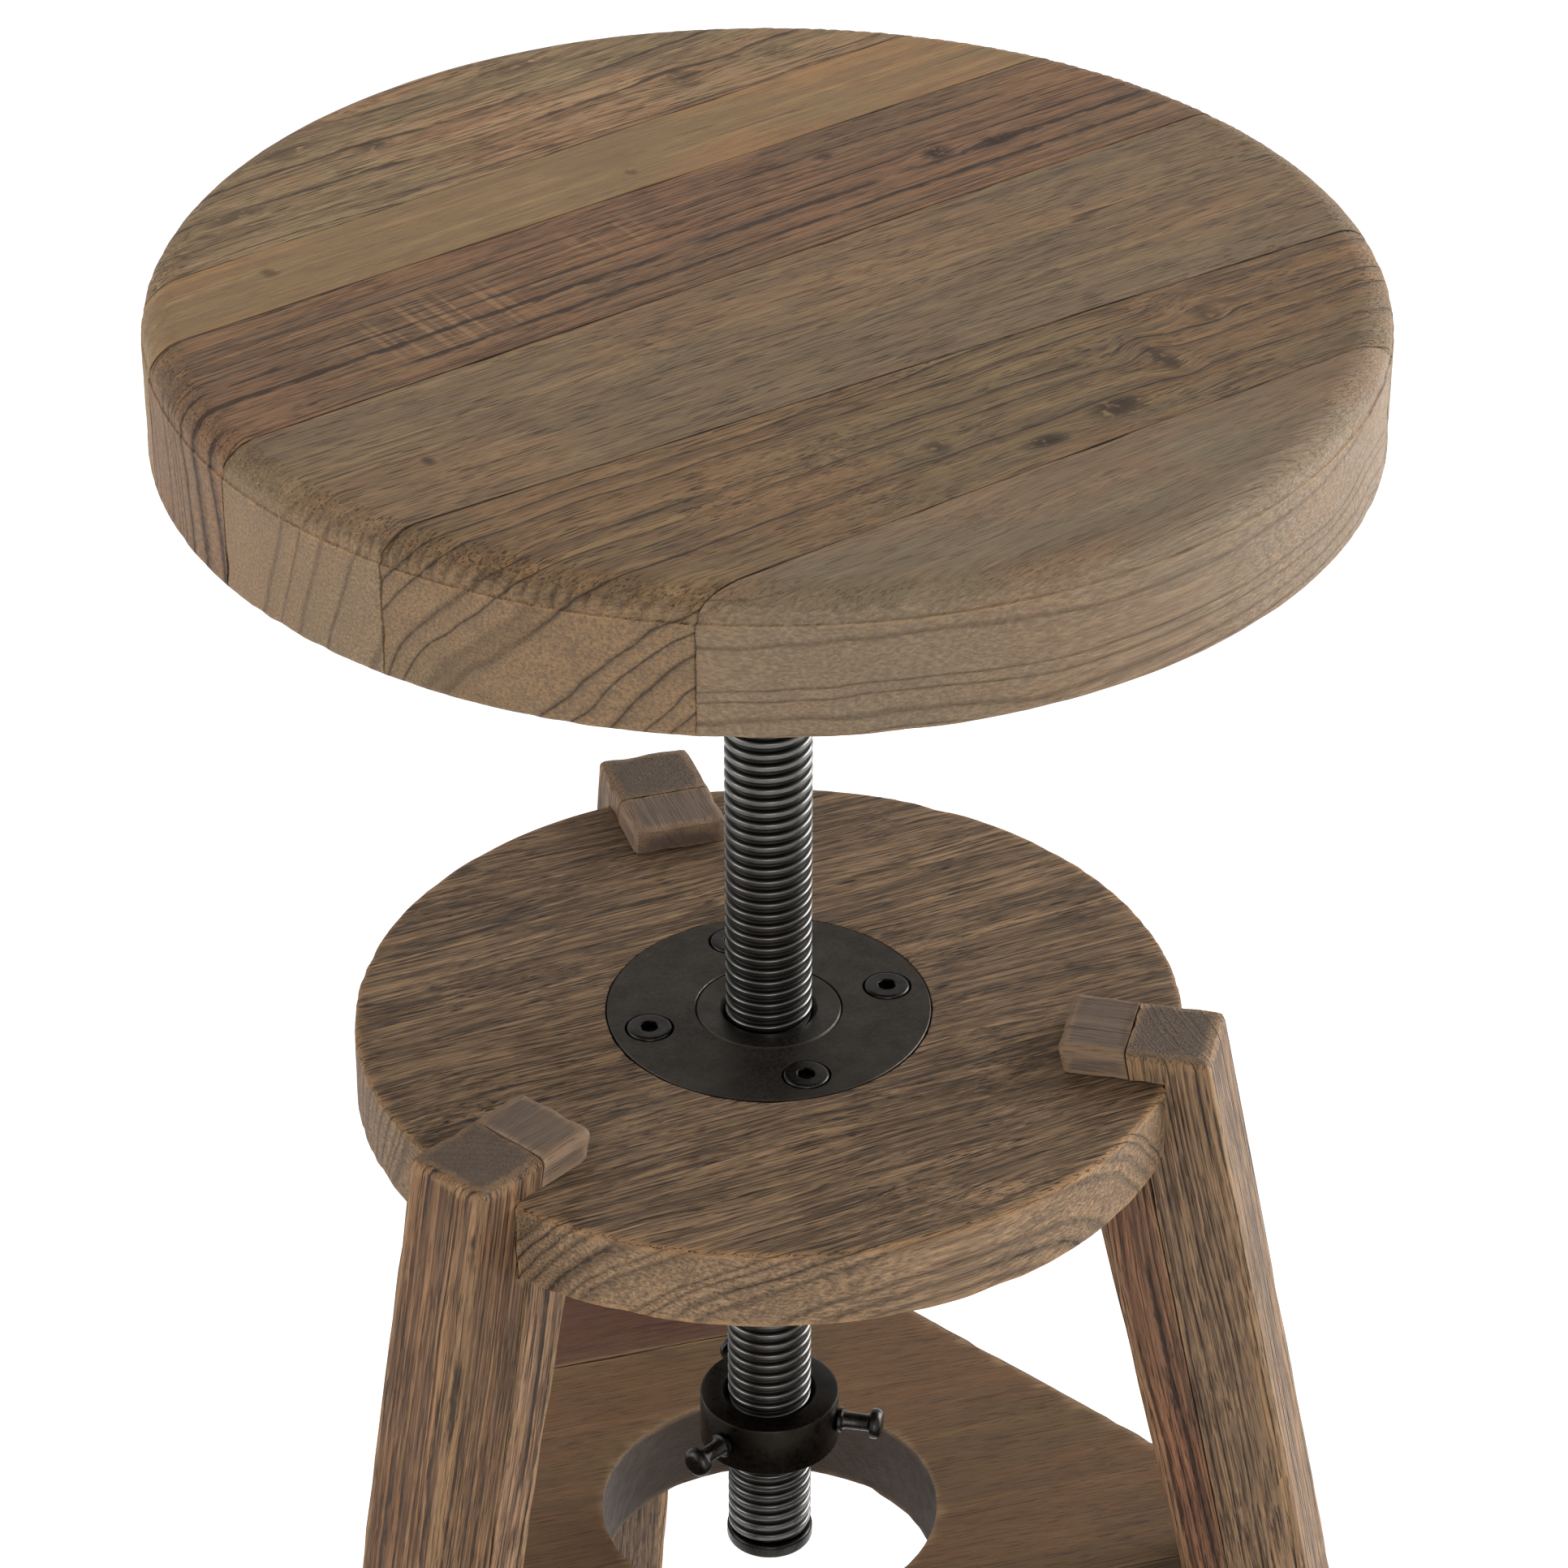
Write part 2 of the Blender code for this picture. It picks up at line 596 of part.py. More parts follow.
def leg_board(name, outline, hidden, parent, finish, cutters=()):
    """A board of the leg: its outline of (radius, height) pairs, as wide as the leg. The outline is
    extruded along Z and then stood up, so that the width lies along the leg frame's Y."""
    bm = prism(outline, -LEG_WIDTH / 2, LEG_WIDTH / 2, LEG_ROUND, hidden)
    for vert in bm.verts:
        vert.co = (vert.co.x, -vert.co.z, vert.co.y)
    board = place(name, finished(bm, name), parent, finish)
    cut(board, *cutters)
    return board


def build_leg(number, leg, finishes):
    """One leg: outer board with a notch for the disc, inner board housed for the shelf, top hook."""
    above, below = DISC_TOP + GAP, DISC_BOTTOM - GAP
    back = LEG_SEAT_RADIUS + GAP
    outer = [
        (outer_face(LEG_TOP), LEG_TOP),
        (outer_face(FOOT), FOOT),
        (glue_line(FOOT), FOOT),
        (glue_line(below), below),
        (back, below),
        (back, above),
        (glue_line(above), above),
        (glue_line(LEG_TOP), LEG_TOP),
    ]
    middle = (DISC_TOP + DISC_BOTTOM) / 2
    shelf_middle = (SHELF_TOP + SHELF_BOTTOM) / 2
    bm = rod(DOWEL_RADIUS + GAP, back - OVER, back + DISC_DOWEL_IN_LEG + GAP)
    disc_hole = cutter(f"leg_{number}_disc_hole", bm, leg, (0, 0, middle), (0, pi / 2, 0))
    wall = SHELF_END_RADIUS + GAP
    bm = rod(DOWEL_RADIUS + GAP, wall - OVER, wall + SHELF_DOWEL_IN_LEG + GAP)
    shelf_hole = cutter(f"leg_{number}_shelf_hole", bm, leg, (0, 0, shelf_middle), (0, pi / 2, 0))
    bm = rod(GLIDE_PIN_RADIUS + GAP, 0, FOOT + GLIDE_PIN_LENGTH + GAP)
    pin_hole = cutter(f"leg_{number}_glide_hole", bm, leg, (glide_place(), 0, 0))
    holes = (disc_hole, shelf_hole, pin_hole)
    leg_board(f"leg_{number}_outer_board", outer, (2, 3, 4, 5, 6), leg, finishes[0], holes)
    inner = [
        (glue_line(below) - GAP, below),
        (glue_line(FOOT) - GAP, FOOT),
        (inner_face(FOOT), FOOT),
        (inner_face(SHELF_BOTTOM - GAP), SHELF_BOTTOM - GAP),
        (wall, SHELF_BOTTOM - GAP),
        (wall, SHELF_TOP + GAP),
        (inner_face(SHELF_TOP + GAP), SHELF_TOP + GAP),
        (inner_face(below), below),
    ]
    leg_board(f"leg_{number}_inner_board", inner, (0, 3, 4, 5, 7), leg, finishes[1], (shelf_hole,))
    hook = [
        (glue_line(LEG_TOP) - GAP, LEG_TOP),
        (glue_line(above) - GAP, above),
        (inner_face(above), above),
        (inner_face(LEG_TOP), LEG_TOP),
    ]
    leg_board(f"leg_{number}_top_hook", hook, (0, 1), leg, finishes[2])


def glide_place():
    return outer_face(FOOT) - OUTER_BOARD_DEPTH / 2 - GLIDE_INSET


def build_glides(legs, finish):
    """A nail-on plastic glide under each foot."""
    profile = [
        (0, FOOT + GLIDE_PIN_LENGTH),
        (GLIDE_PIN_RADIUS, FOOT + GLIDE_PIN_LENGTH - GLIDE_PIN_TAPER),
        (GLIDE_PIN_RADIUS, GLIDE_HEIGHT),
        (GLIDE_RADIUS, GLIDE_HEIGHT),
        (GLIDE_RADIUS, GLIDE_EASE),
        (GLIDE_RADIUS - GLIDE_EASE, 0),
        (0, 0),
    ]
    mesh = finished(turned(profile), "foot_glide")
    for number, leg in enumerate(legs, start=1):
        place(f"foot_glide_{number}", mesh, leg, finish, (glide_place(), 0, 0))


def build_dowels(legs, finish):
    """A hidden dowel from each leg into the disc's rim, and one into the shelf's corner."""
    disc_height = (DISC_TOP + DISC_BOTTOM) / 2
    shelf_height = (SHELF_TOP + SHELF_BOTTOM) / 2
    disc_end = LEG_SEAT_RADIUS + GAP + DISC_DOWEL_IN_LEG
    shelf_end = SHELF_END_RADIUS + GAP + SHELF_DOWEL_IN_LEG
    rows = (
        ("disc_dowel", disc_height, disc_end, DISC_DOWEL_LENGTH),
        ("shelf_dowel", shelf_height, shelf_end, SHELF_DOWEL_LENGTH),
    )
    for name, height, end, length in rows:
        mesh = finished(rod(DOWEL_RADIUS, end - length, end, chamfer=DOWEL_CHAMFER), name)
        for number, leg in enumerate(legs, start=1):
            place(f"{name}_{number}", mesh, leg, finish, (0, 0, height), (0, pi / 2, 0))


# ---------------------------------------------------------------- shelf
def shelf_outline():
    """The triangle with its three corners cut square to the legs."""
    half = (SHELF_EDGE - SHELF_END_RADIUS * cos(pi / 3)) / sin(pi / 3)
    points = []
    for azimuth in LEG_AZIMUTHS:
        for side in (-half, half):
            x = SHELF_END_RADIUS * cos(azimuth) - side * sin(azimuth)
            y = SHELF_END_RADIUS * sin(azimuth) + side * cos(azimuth)
            points.append((x, y))
    return points


def build_shelf(parent, legs, finishes):
    """Back, middle and front boards; the screw's end passes down through the middle one's hole."""
    shelf_middle = (SHELF_TOP + SHELF_BOTTOM) / 2
    start = SHELF_END_RADIUS + GAP + SHELF_DOWEL_IN_LEG - SHELF_DOWEL_LENGTH - GAP
    holes = []
    for number, leg in enumerate(legs, start=1):
        bm = rod(DOWEL_RADIUS + GAP, start, SHELF_END_RADIUS + OVER)
        spot = (0, 0, shelf_middle)
        holes.append(cutter(f"shelf_dowel_hole_{number}", bm, leg, spot, (0, pi / 2, 0)))
    bm = rod(SHELF_HOLE_RADIUS, SHELF_BOTTOM - OVER, SHELF_TOP + OVER)
    opening = cutter("shelf_opening", bm, parent)
    back, front = SHELF_JOINTS
    slices = (
        ("shelf_back_board", back, None, finishes[0], holes[:1]),
        ("shelf_middle_board", front, back, finishes[1], (opening, *holes[1:])),
        ("shelf_front_board", None, front, finishes[2], holes[1:]),
    )
    for name, low, high, finish, cutters in slices:
        bm = prism(shelf_outline(), SHELF_BOTTOM, SHELF_TOP, SHELF_ROUND)
        board = place(name, finished(keep_between(bm, low, high), name), parent, finish)
        cut(board, *cutters)


# ---------------------------------------------------------------- the stool
def main():
    clear_scene()
    grey_brown = material("elm_grey_brown", (0.19, 0.13, 0.085), 0.72)
    red_brown = material("elm_red_brown", (0.14, 0.08, 0.052), 0.7)
    tan_brown = material("elm_tan", (0.25, 0.17, 0.105), 0.7)
    disc_brown = material("elm_disc_brown", (0.16, 0.105, 0.066), 0.74)
    leg_brown = material("elm_leg_brown", (0.2, 0.12, 0.075), 0.74)
    gunmetal = material("gunmetal_screw", (0.09, 0.088, 0.085), 0.3, 1.0)
    black_iron = material("blackened_iron", (0.035, 0.033, 0.03), 0.5, 0.9)
    black_steel = material("black_oxide_steel", (0.02, 0.02, 0.02), 0.38, 0.9)
    zinc = material("zinc_plated_steel", (0.42, 0.42, 0.4), 0.4, 1.0)
    beech = material("beech_dowel", (0.5, 0.34, 0.2), 0.6)
    nylon = material("black_nylon", (0.015, 0.015, 0.015), 0.5)

    stool = empty("stool", (0, SCREW_AXIS_Y, 0))
    legs = [leg_frame(azimuth, stool, f"leg_{n}_frame") for n, azimuth in enumerate(LEG_AZIMUTHS, start=1)]
    lift = empty("seat_lift_axis", parent=stool)
    spin = empty("seat_spin_axis", parent=lift)
    collar_lift = empty("collar_lift_axis", parent=stool)
    collar_spin = empty("collar_spin_axis", parent=collar_lift)

    build_disc(stool, legs, disc_brown)
    build_flange(stool, black_iron, black_iron)
    build_bolts(stool, black_steel, zinc)
    for number, leg in enumerate(legs, start=1):
        build_leg(number, leg, (leg_brown, leg_brown, leg_brown))
    build_glides(legs, nylon)
    build_dowels(legs, beech)
    build_shelf(stool, legs, (red_brown, tan_brown, grey_brown))
    build_end_stop(lift, spin, black_steel, black_steel)
    build_screw(spin, gunmetal)
    build_plate(spin, black_iron)
    build_plate_screws(spin, zinc)
    build_seat(spin, (grey_brown, tan_brown, red_brown, tan_brown, grey_brown, tan_brown))
    build_collar(collar_lift, collar_spin, black_iron, black_steel)


main()
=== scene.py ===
"""The looks of an adjustable swivel stool: reclaimed, wire-brushed elm on blackened iron. Every piece is
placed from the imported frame, in metres, +Z up."""

from functools import partial
from math import atan2, cos, pi, radians, sin, sqrt

import bmesh
import bpy
from mathutils import Euler, Matrix, Vector, kdtree, noise


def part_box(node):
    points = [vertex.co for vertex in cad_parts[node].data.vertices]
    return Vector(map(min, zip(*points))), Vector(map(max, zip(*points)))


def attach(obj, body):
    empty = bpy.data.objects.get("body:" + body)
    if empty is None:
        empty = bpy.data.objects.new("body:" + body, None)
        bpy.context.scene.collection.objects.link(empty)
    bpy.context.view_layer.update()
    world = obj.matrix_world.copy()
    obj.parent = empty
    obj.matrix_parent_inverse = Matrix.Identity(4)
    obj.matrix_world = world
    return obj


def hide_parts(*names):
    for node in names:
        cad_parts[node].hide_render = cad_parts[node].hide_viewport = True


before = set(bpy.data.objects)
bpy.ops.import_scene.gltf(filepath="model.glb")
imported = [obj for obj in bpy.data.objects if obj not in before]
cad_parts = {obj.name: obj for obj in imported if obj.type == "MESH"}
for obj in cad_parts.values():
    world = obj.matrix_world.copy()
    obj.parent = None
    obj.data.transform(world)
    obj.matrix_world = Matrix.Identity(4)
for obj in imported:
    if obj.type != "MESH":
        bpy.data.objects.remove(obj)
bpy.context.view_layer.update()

# ---------------------------------------------------------------- places, from the frame
MM = 0.001


def middle(node):
    low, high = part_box(node)
    return (low + high) / 2


def numbered(stem, count):
    return [f"{stem}_{number}" for number in range(1, count + 1)]


def radius_of(node):
    low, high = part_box(node)
    return (high.x - low.x) / 2


AXIS = middle("height_screw").xy.to_3d()
SCREW_LOW, SCREW_HIGH = (corner.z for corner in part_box("height_screw"))
SEAT_LOW, SEAT_HIGH = (corner.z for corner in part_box("seat_board_4"))
SEAT_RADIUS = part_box("seat_board_1")[1].y - AXIS.y
DISC_LOW, DISC_HIGH = (corner.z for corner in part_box("leg_disc"))
DISC_RADIUS = 125 * MM
LEG_AZIMUTHS = [radians(90 + 120 * k) for k in range(3)]
LEG_LEAN = radians(11.56)  # legs' outer faces off the vertical
ORIGIN = Vector((0, 0, 0))
THREAD_DEPTH = 1.5 * MM
THREAD_PITCH = 4 * MM
BORE_ROOM = 0.35 * MM  # between the thread's crests and a bore
HUB_LEDGE = 2.2 * MM  # how far the flange reaches in under the nut hub's rim
SEAT_ROLL = 11 * MM  # how far in the seat's rolled edge begins
SEAT_DROP = 9 * MM  # how far down it ends

# Seat's glue lines: mm from the axis, turn from X in degrees, and how far they stand open in mm.
SEAT_JOINTS = (
    (102.4, 20.6, 0.12),
    (68.0, 19.5, 0.18),
    (9.2, 19.6, 0.42),
    (-64.0, 16.1, 0.4),
    (-128.6, 19.3, 0.16),
)


# ---------------------------------------------------------------- node trees
def add(tree, kind, *values, out=0, **settings):
    """Adds a node to a tree. kind is its type, with its mode after a dot where it has one. values go to
    its inputs in their order, or as one dictionary by name, each a value or another node's output."""
    kind, _, mode = kind.partition(".")
    made = tree.nodes.new(kind if kind.startswith(("Geometry", "Function")) else f"ShaderNode{kind}")
    if mode:
        setattr(made, {"MapRange": "interpolation_type", "Mix": "data_type"}.get(kind, "operation"), mode)
    for name, value in settings.items():
        setattr(made, name, value)
    given = values[0].items() if values and isinstance(values[0], dict) else enumerate(values)
    for key, value in given:
        if isinstance(value, bpy.types.NodeSocket):
            tree.links.new(value, made.inputs[key])
        else:
            made.inputs[key].default_value = value
    return made.outputs[out]


def linear(colour):
    """A linear RGBA from an sRGB hex colour."""
    parts = [int(colour[k:k + 2], 16) / 255 for k in (0, 2, 4)]
    return (*[p / 12.92 if p <= 0.04045 else ((p + 0.055) / 1.055) ** 2.4 for p in parts], 1.0)


def new_material(name):
    """A material, what adds a node to it, what links two sockets, and its shader's inputs."""
    made = bpy.data.materials.new(name)
    made.use_nodes = True
    tree = made.node_tree
    return made, partial(add, tree), tree.links.new, tree.nodes["Principled BSDF"].inputs


def coat(node, link, shader, shade, dull, height):
    """Gives a shader its colour, its roughness and a relief whose height is in mm."""
    bump = node("Bump", {"Height": height, "Distance": MM, "Strength": 1.0})
    for name, value in (("Base Color", shade), ("Roughness", dull), ("Normal", bump)):
        link(value, shader[name])


def board_frame(grain, up):
    """A board's own axes as a matrix that turns the frame's directions to (along, across, up)."""
    along = Vector(grain).normalized()
    across = Vector(up).cross(along).normalized()
    return Matrix((along, across, along.cross(across)))


def wood(
    name, turn, tones, seed, rings=(4.0, 90.0, -60.0), late=0.5, fibre=0.5, pores=0.5, streak=0.5,
    warp=6.0, crack=0.4, patch=0.9, grime=0.4, saw=(), knots=(), relief=1.0, worn="a98a68", rub=0.5,
    end=None, upright=None, rough=0.66, short=1.0,
):
    """Reclaimed elm, sawn, wire-brushed and waxed: soft early wood worn away between harder late-wood
    lines, open pores, checks and old stains, so it is matt, streaked along the grain and never one
    colour. turn is the board's frame; tones are its pore, dark, middle, second middle and light colours.
    rings are their width, and the place of the tree's heart across and above the board, in mm. Each
    knot or sawn spot is (along, across, length, width, strength), in mm from the screw's axis. short is
    how many times shorter than usual its streaks are. upright is the pale colour, and the strength of the
    dark arcs, on faces that stand upright. end is the colour and strength of end grain, then 0; with a
    distance in mm from the screw's axis in place of the 0, they are the colour and strength of painted
    shade on the wall of a hole that lies within that distance."""
    made, node, link, shader = new_material(name)
    pore, dark, mid, second, light = (linear(tone) for tone in tones)

    def cloud(where, scale, detail, roughness=0.6):
        """Noise whose grains are 1/scale mm long along, across and above the board."""
        spread = node("VectorMath.MULTIPLY", where, scale)
        return node("TexNoise", {"Vector": spread, "Scale": 1.0, "Detail": detail, "Roughness": roughness})

    def away(where, along, across, length, width):
        """A point's offset from a spot, and how many times the spot's own size that is."""
        off = node("VectorMath.SUBTRACT", where, (along, across, 0))
        flat = node("VectorMath.MULTIPLY", off, (1 / length, 1 / width, 0))
        return off, node("VectorMath.LENGTH", flat, out="Value")

    def spots_mask(where, spots, reach=0.9):
        """One mask for all these spots."""
        mask = 0.0
        for *shape, strength in spots:
            far = away(where, *shape)[1]
            mask = node("Math.MAXIMUM", mask, node("MapRange.SMOOTHSTEP", far, 0.2, reach, strength, 0.0))
        return mask

    spot = node("TexCoord", out="Object")
    own_axes = {"Location": turn @ AXIS * -1000, "Rotation": turn.to_euler(), "Scale": (1000, 1000, 1000)}
    at = node("Mapping", {"Vector": spot, **own_axes})
    own_place = (seed * 731.0, seed * 57.0, seed * 23.0)
    shifted = node("VectorMath.ADD", at, own_place)
    # Grain wanders by a few millimetres over a hand's length, and swerves round each knot.
    wander = cloud(shifted, (0.0045, 0.014, 0.014), 3.0, 0.5).node.outputs["Color"]
    wander = node("VectorMath.SUBTRACT", wander, (0.5, 0.5, 0.5))
    wander = node("VectorMath.MULTIPLY", wander, (0, warp, warp))
    bent = node("VectorMath.ADD", at, wander)
    for *shape, _ in knots:
        off, far = away(bent, *shape)
        swerve = node("VectorMath.MULTIPLY", off, (0, -0.6, 0))
        near = node("MapRange.SMOOTHSTEP", far, 0.0, 2.4, 1.0, 0.0)
        bent = node("VectorMath.ADD", bent, node("VectorMath.SCALE", {0: swerve, "Scale": near}))
    loose = node("VectorMath.ADD", bent, own_place)

    # Growth rings round the tree's heart, no two the same width.
    width, heart_across, heart_up = rings
    ray = node("VectorMath.MULTIPLY", bent, (0, 1, 1))
    ray = node("VectorMath.SUBTRACT", ray, (0, heart_across, heart_up))
    reach = node("VectorMath.LENGTH", ray, out="Value")
    count = node("Math.DIVIDE", reach, width)
    own_count = node("Math.ADD", count, seed * 9.7)
    uneven = node("TexNoise", {"W": own_count, "Scale": 0.37, "Detail": 1.0}, noise_dimensions="1D")
    count = node("Math.MULTIPLY_ADD", uneven, 3.2, count)
    phase = node("Math.FRACT", count)
    late_wood = node("MapRange.SMOOTHSTEP", phase, 0.4, 0.88)
    late_wood = node("Math.SUBTRACT", late_wood, node("MapRange.SMOOTHSTEP", phase, 0.92, 1.0))
    # Checks open along a ring for a few centimetres, where the board has dried out.
    ring_number = node("CombineXYZ", {"Y": node("Math.MULTIPLY", node("Math.ROUND", count), 5.37)})
    along_ring = node("VectorMath.ADD", node("VectorMath.MULTIPLY", loose, (0.013, 0, 0)), ring_number)
    where = node("TexNoise", {"Vector": along_ring, "Scale": 1.0, "Detail": 2.0})
    where = node("MapRange.SMOOTHSTEP", where, 0.66 - 0.28 * crack, 0.74 - 0.28 * crack)
    ragged = cloud(loose, (0.12, 0.5, 0.5), 2.0)
    gap = node("Math.MULTIPLY", node("Math.PINGPONG", count, 0.5), width)
    gap = node("Math.MULTIPLY_ADD", ragged, 0.9, gap)
    open_gap = 0.42 + 0.17 * crack
    checks = node("MapRange.SMOOTHSTEP", gap, open_gap, open_gap + 0.25, 1.0, 0.0)
    checks = node("Math.MULTIPLY", checks, where)

    if upright or end:
        facing = node("TexCoord", out="Normal")
    if upright:
        # Where the edge is cut round, the rings come out as long dark arcs.
        rise = node("VectorMath.DOT_PRODUCT", facing, (0, 0, 1), out="Value")
        edge_on = node("MapRange.SMOOTHSTEP", node("Math.ABSOLUTE", rise), 0.35, 0.85, 1.0, 0.0)
        arcs = node("Math.MULTIPLY", node("MapRange.SMOOTHSTEP", gap, 0.6, 1.9, upright[1], 0.0), edge_on)
        checks = node("Math.MAXIMUM", checks, arcs)
    fibres = cloud(loose, (0.024 * short, 1.3, 1.3), 3.0, 0.65)
    bands = cloud(loose, (0.007 * short, 0.22, 0.22), 4.0, 0.65)
    stains = cloud(loose, (0.009, 0.022, 0.022), 4.0)
    blotches = cloud(loose, (0.03, 0.06, 0.06), 5.0, 0.7)
    open_pores = node("MapRange.SMOOTHSTEP", cloud(loose, (0.07, 2.3, 2.3), 1.0), 0.58, 0.66, 0.0, pores)
    crowd = node("MapRange.SMOOTHSTEP", blotches, 0.36, 0.54, 0.45, 1.0)
    open_pores = node("Math.MULTIPLY", open_pores, crowd)

    # The colours, laid over each other from the first to the last, each with its cover.
    layers = [
        (node("MapRange.SMOOTHSTEP", stains, 0.42, 0.58, 0.0, patch), second),
        (node("MapRange.SMOOTHSTEP", bands, 0.5, 0.72, 0.0, streak), light),
        (node("MapRange.SMOOTHSTEP", bands, 0.5, 0.3, 0.0, streak), dark),
        (node("MapRange.SMOOTHSTEP", blotches, 0.52, 0.7, 0.0, grime), dark),
        (node("MapRange.SMOOTHSTEP", blotches, 0.46, 0.3, 0.0, 0.55 * grime), light),
        (node("Math.MULTIPLY", late_wood, late), dark),
        (node("MapRange.SMOOTHSTEP", fibres, 0.5, 0.35, 0.0, fibre), dark),
        (node("MapRange.SMOOTHSTEP", fibres, 0.53, 0.7, 0.0, 0.8 * fibre), light),
    ]
    if upright:
        open_pores = node("Math.MULTIPLY", open_pores, node("Math.MULTIPLY_ADD", edge_on, -0.8, 1.0))
        paler = node("MapRange.SMOOTHSTEP", fibres, 0.35, 0.7)
        pale = node("Mix.RGBA", {0: paler, 6: linear(upright[0]), 7: light}, out=2)
        layers.append((node("Math.MULTIPLY", edge_on, 0.5), pale))
    if saw:
        # An old saw's marks lie across the grain, 3 mm apart, in places.
        cross = node("MapRange.SMOOTHSTEP", cloud(shifted, (0.3, 0.01, 0.05), 1.5), 0.48, 0.6)
        layers.append((node("Math.MULTIPLY", cross, spots_mask(at, saw)), linear(worn)))
    if end:
        # End grain drinks more wax, so it is darker and greyer; a hole's wall gets painted shade all round.
        tone, strength, hole = end
        row, low, high, least, most = (2, 0.3, 0.7, strength, 0.0) if hole else (0, 0.75, 0.93, 0.0, strength)
        facing = node("VectorMath.DOT_PRODUCT", facing, turn[row], out="Value")
        facing = node("MapRange.SMOOTHSTEP", node("Math.ABSOLUTE", facing), low, high, least, most)
        # Painted shade: every upright face near the hole is darkened, whatever the grain.
        if hole:
            from_axis = node("VectorMath.LENGTH", node("VectorMath.MULTIPLY", at, (1, 1, 0)), out="Value")
            near = node("MapRange.SMOOTHSTEP", from_axis, hole, hole + 4, 1.0, 0.0)
            facing = node("Math.MULTIPLY", facing, near)
        checks = node("Math.MULTIPLY", checks, node("Math.SUBTRACT", 1.0, facing))
        layers.append((facing, linear(tone)))
    wear = node("Attribute", out="Fac", attribute_name="wear")
    rubbed = node("Math.MULTIPLY", bands, wear)
    layers.append((node("MapRange.SMOOTHSTEP", rubbed, 0.2, 0.55, 0.0, rub), linear(worn)))
    if knots:
        mottle = node("TexNoise", {"Vector": shifted, "Scale": 0.3, "Detail": 4.0})
        mottle = node("MapRange.SMOOTHSTEP", mottle, 0.35, 0.48)
        layers.append((node("Math.MULTIPLY", spots_mask(bent, knots, 1.1), mottle), pore))
    # Last come pores, checks, dirt settled in the open joints, and the darker grooves between edge ribs.
    dirt = node("MapRange.SMOOTHSTEP", node("Math.MULTIPLY", wear, -1.0), 0.2, 1.0, 0.0, 0.9)
    layers += [(open_pores, pore), (node("Math.MULTIPLY", checks, 0.85), pore), (dirt, pore)]
    shade = mid
    for cover, colour in layers:
        shade = node("Mix.RGBA", {0: cover, 6: shade, 7: colour}, out=2)

    # Relief in mm: late wood stands proud, pores and checks are cut in.
    height = node("Math.MULTIPLY", late_wood, 0.16 * relief)
    height = node("Math.MULTIPLY_ADD", fibres, 0.6 * relief, height)
    height = node("Math.MULTIPLY_ADD", open_pores, -0.3 * relief, height)
    height = node("Math.MULTIPLY_ADD", checks, -0.3, height)
    if upright:
        stipple = node("Math.MULTIPLY", cloud(shifted, (0.16, 0.8, 0.8), 3.0), edge_on)
        height = node("Math.MULTIPLY_ADD", stipple, 0.8, height)
    dull = node("MapRange.SMOOTHSTEP", bands, 0.3, 0.7, rough - 0.08, rough + 0.1)
    coat(node, link, shader, shade, dull, height)
    shader["Specular IOR Level"].default_value = 0.3
    return made


def metal(name, colour, second, rough, grit=2.5, relief=0.02, spread=0.1):
    """A dark metal. grit is the size in mm of its mottling, relief the depth in mm."""
    made, node, link, shader = new_material(name)
    spot = node("TexCoord", out="Object")
    coarse = node("TexNoise", {"Vector": spot, "Scale": 1000 / grit / 6, "Detail": 4.0})
    grains = node("TexNoise", {"Vector": spot, "Scale": 1000 / grit, "Detail": 3.0})
    part = node("MapRange", coarse, 0.35, 0.65)
    shade = node("Mix.RGBA", {0: part, 6: linear(colour), 7: linear(second)}, out=2)
    dull = node("MapRange", grains, 0.3, 0.7, rough - spread, rough + spread)
    coat(node, link, shader, shade, dull, node("Math.MULTIPLY", grains, relief))
    shader["Metallic"].default_value = 1.0
    return made


# ---------------------------------------------------------------- shapes
def in_scene(name, data):
    """A new object in the scene that holds this data."""
    made = bpy.data.objects.new(name, data)
    bpy.context.scene.collection.objects.link(made)
    return made


def mesh_from(bm, name):
    """A mesh of the bmesh, which is used up."""
    mesh = bpy.data.meshes.new(name)
    bm.to_mesh(mesh)
    bm.free()
    return mesh


def whole(bm):
    return bm.verts[:] + bm.edges[:] + bm.faces[:]


def piece(name, source, finish, body, *replaced, sharp=30):
    """A finished piece from a mesh or a bmesh whose place is in its points, riding on a body. It hides
    the nodes that it replaces."""
    mesh = mesh_from(source, name) if isinstance(source, bmesh.types.BMesh) else source
    mesh.materials.clear()
    mesh.materials.append(finish)
    mesh.shade_smooth()
    mesh.set_sharp_from_angle(angle=radians(sharp))
    made = in_scene(name, mesh)
    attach(made, body)
    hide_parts(*replaced)


def arc(centre, radius, start, end, steps):
    turns = [radians(start + (end - start) * k / steps) for k in range(steps + 1)]
    return [(centre[0] + radius * cos(t), centre[1] + radius * sin(t)) for t in turns]


def turned(profile, segments=96, centre=AXIS):
    """A bmesh spun about a vertical axis from (radius, height) pairs, in metres. A profile that never
    meets the axis is closed on itself."""
    bm = bmesh.new()
    verts = [bm.verts.new((radius, 0, height)) for radius, height in profile]
    for one, other in zip(verts, verts[1:]):
        bm.edges.new((one, other))
    if all(radius > 0 for radius, _ in profile):
        bm.edges.new((verts[-1], verts[0]))
    bmesh.ops.spin(
        bm, geom=bm.verts[:] + bm.edges[:], cent=(0, 0, 0), axis=(0, 0, 1), angle=2 * pi, steps=segments,
        use_merge=True,
    )
    bmesh.ops.remove_doubles(bm, verts=bm.verts, dist=1e-6)
    bmesh.ops.recalc_face_normals(bm, faces=bm.faces)
    bmesh.ops.translate(bm, vec=centre, verts=bm.verts)
    return bm


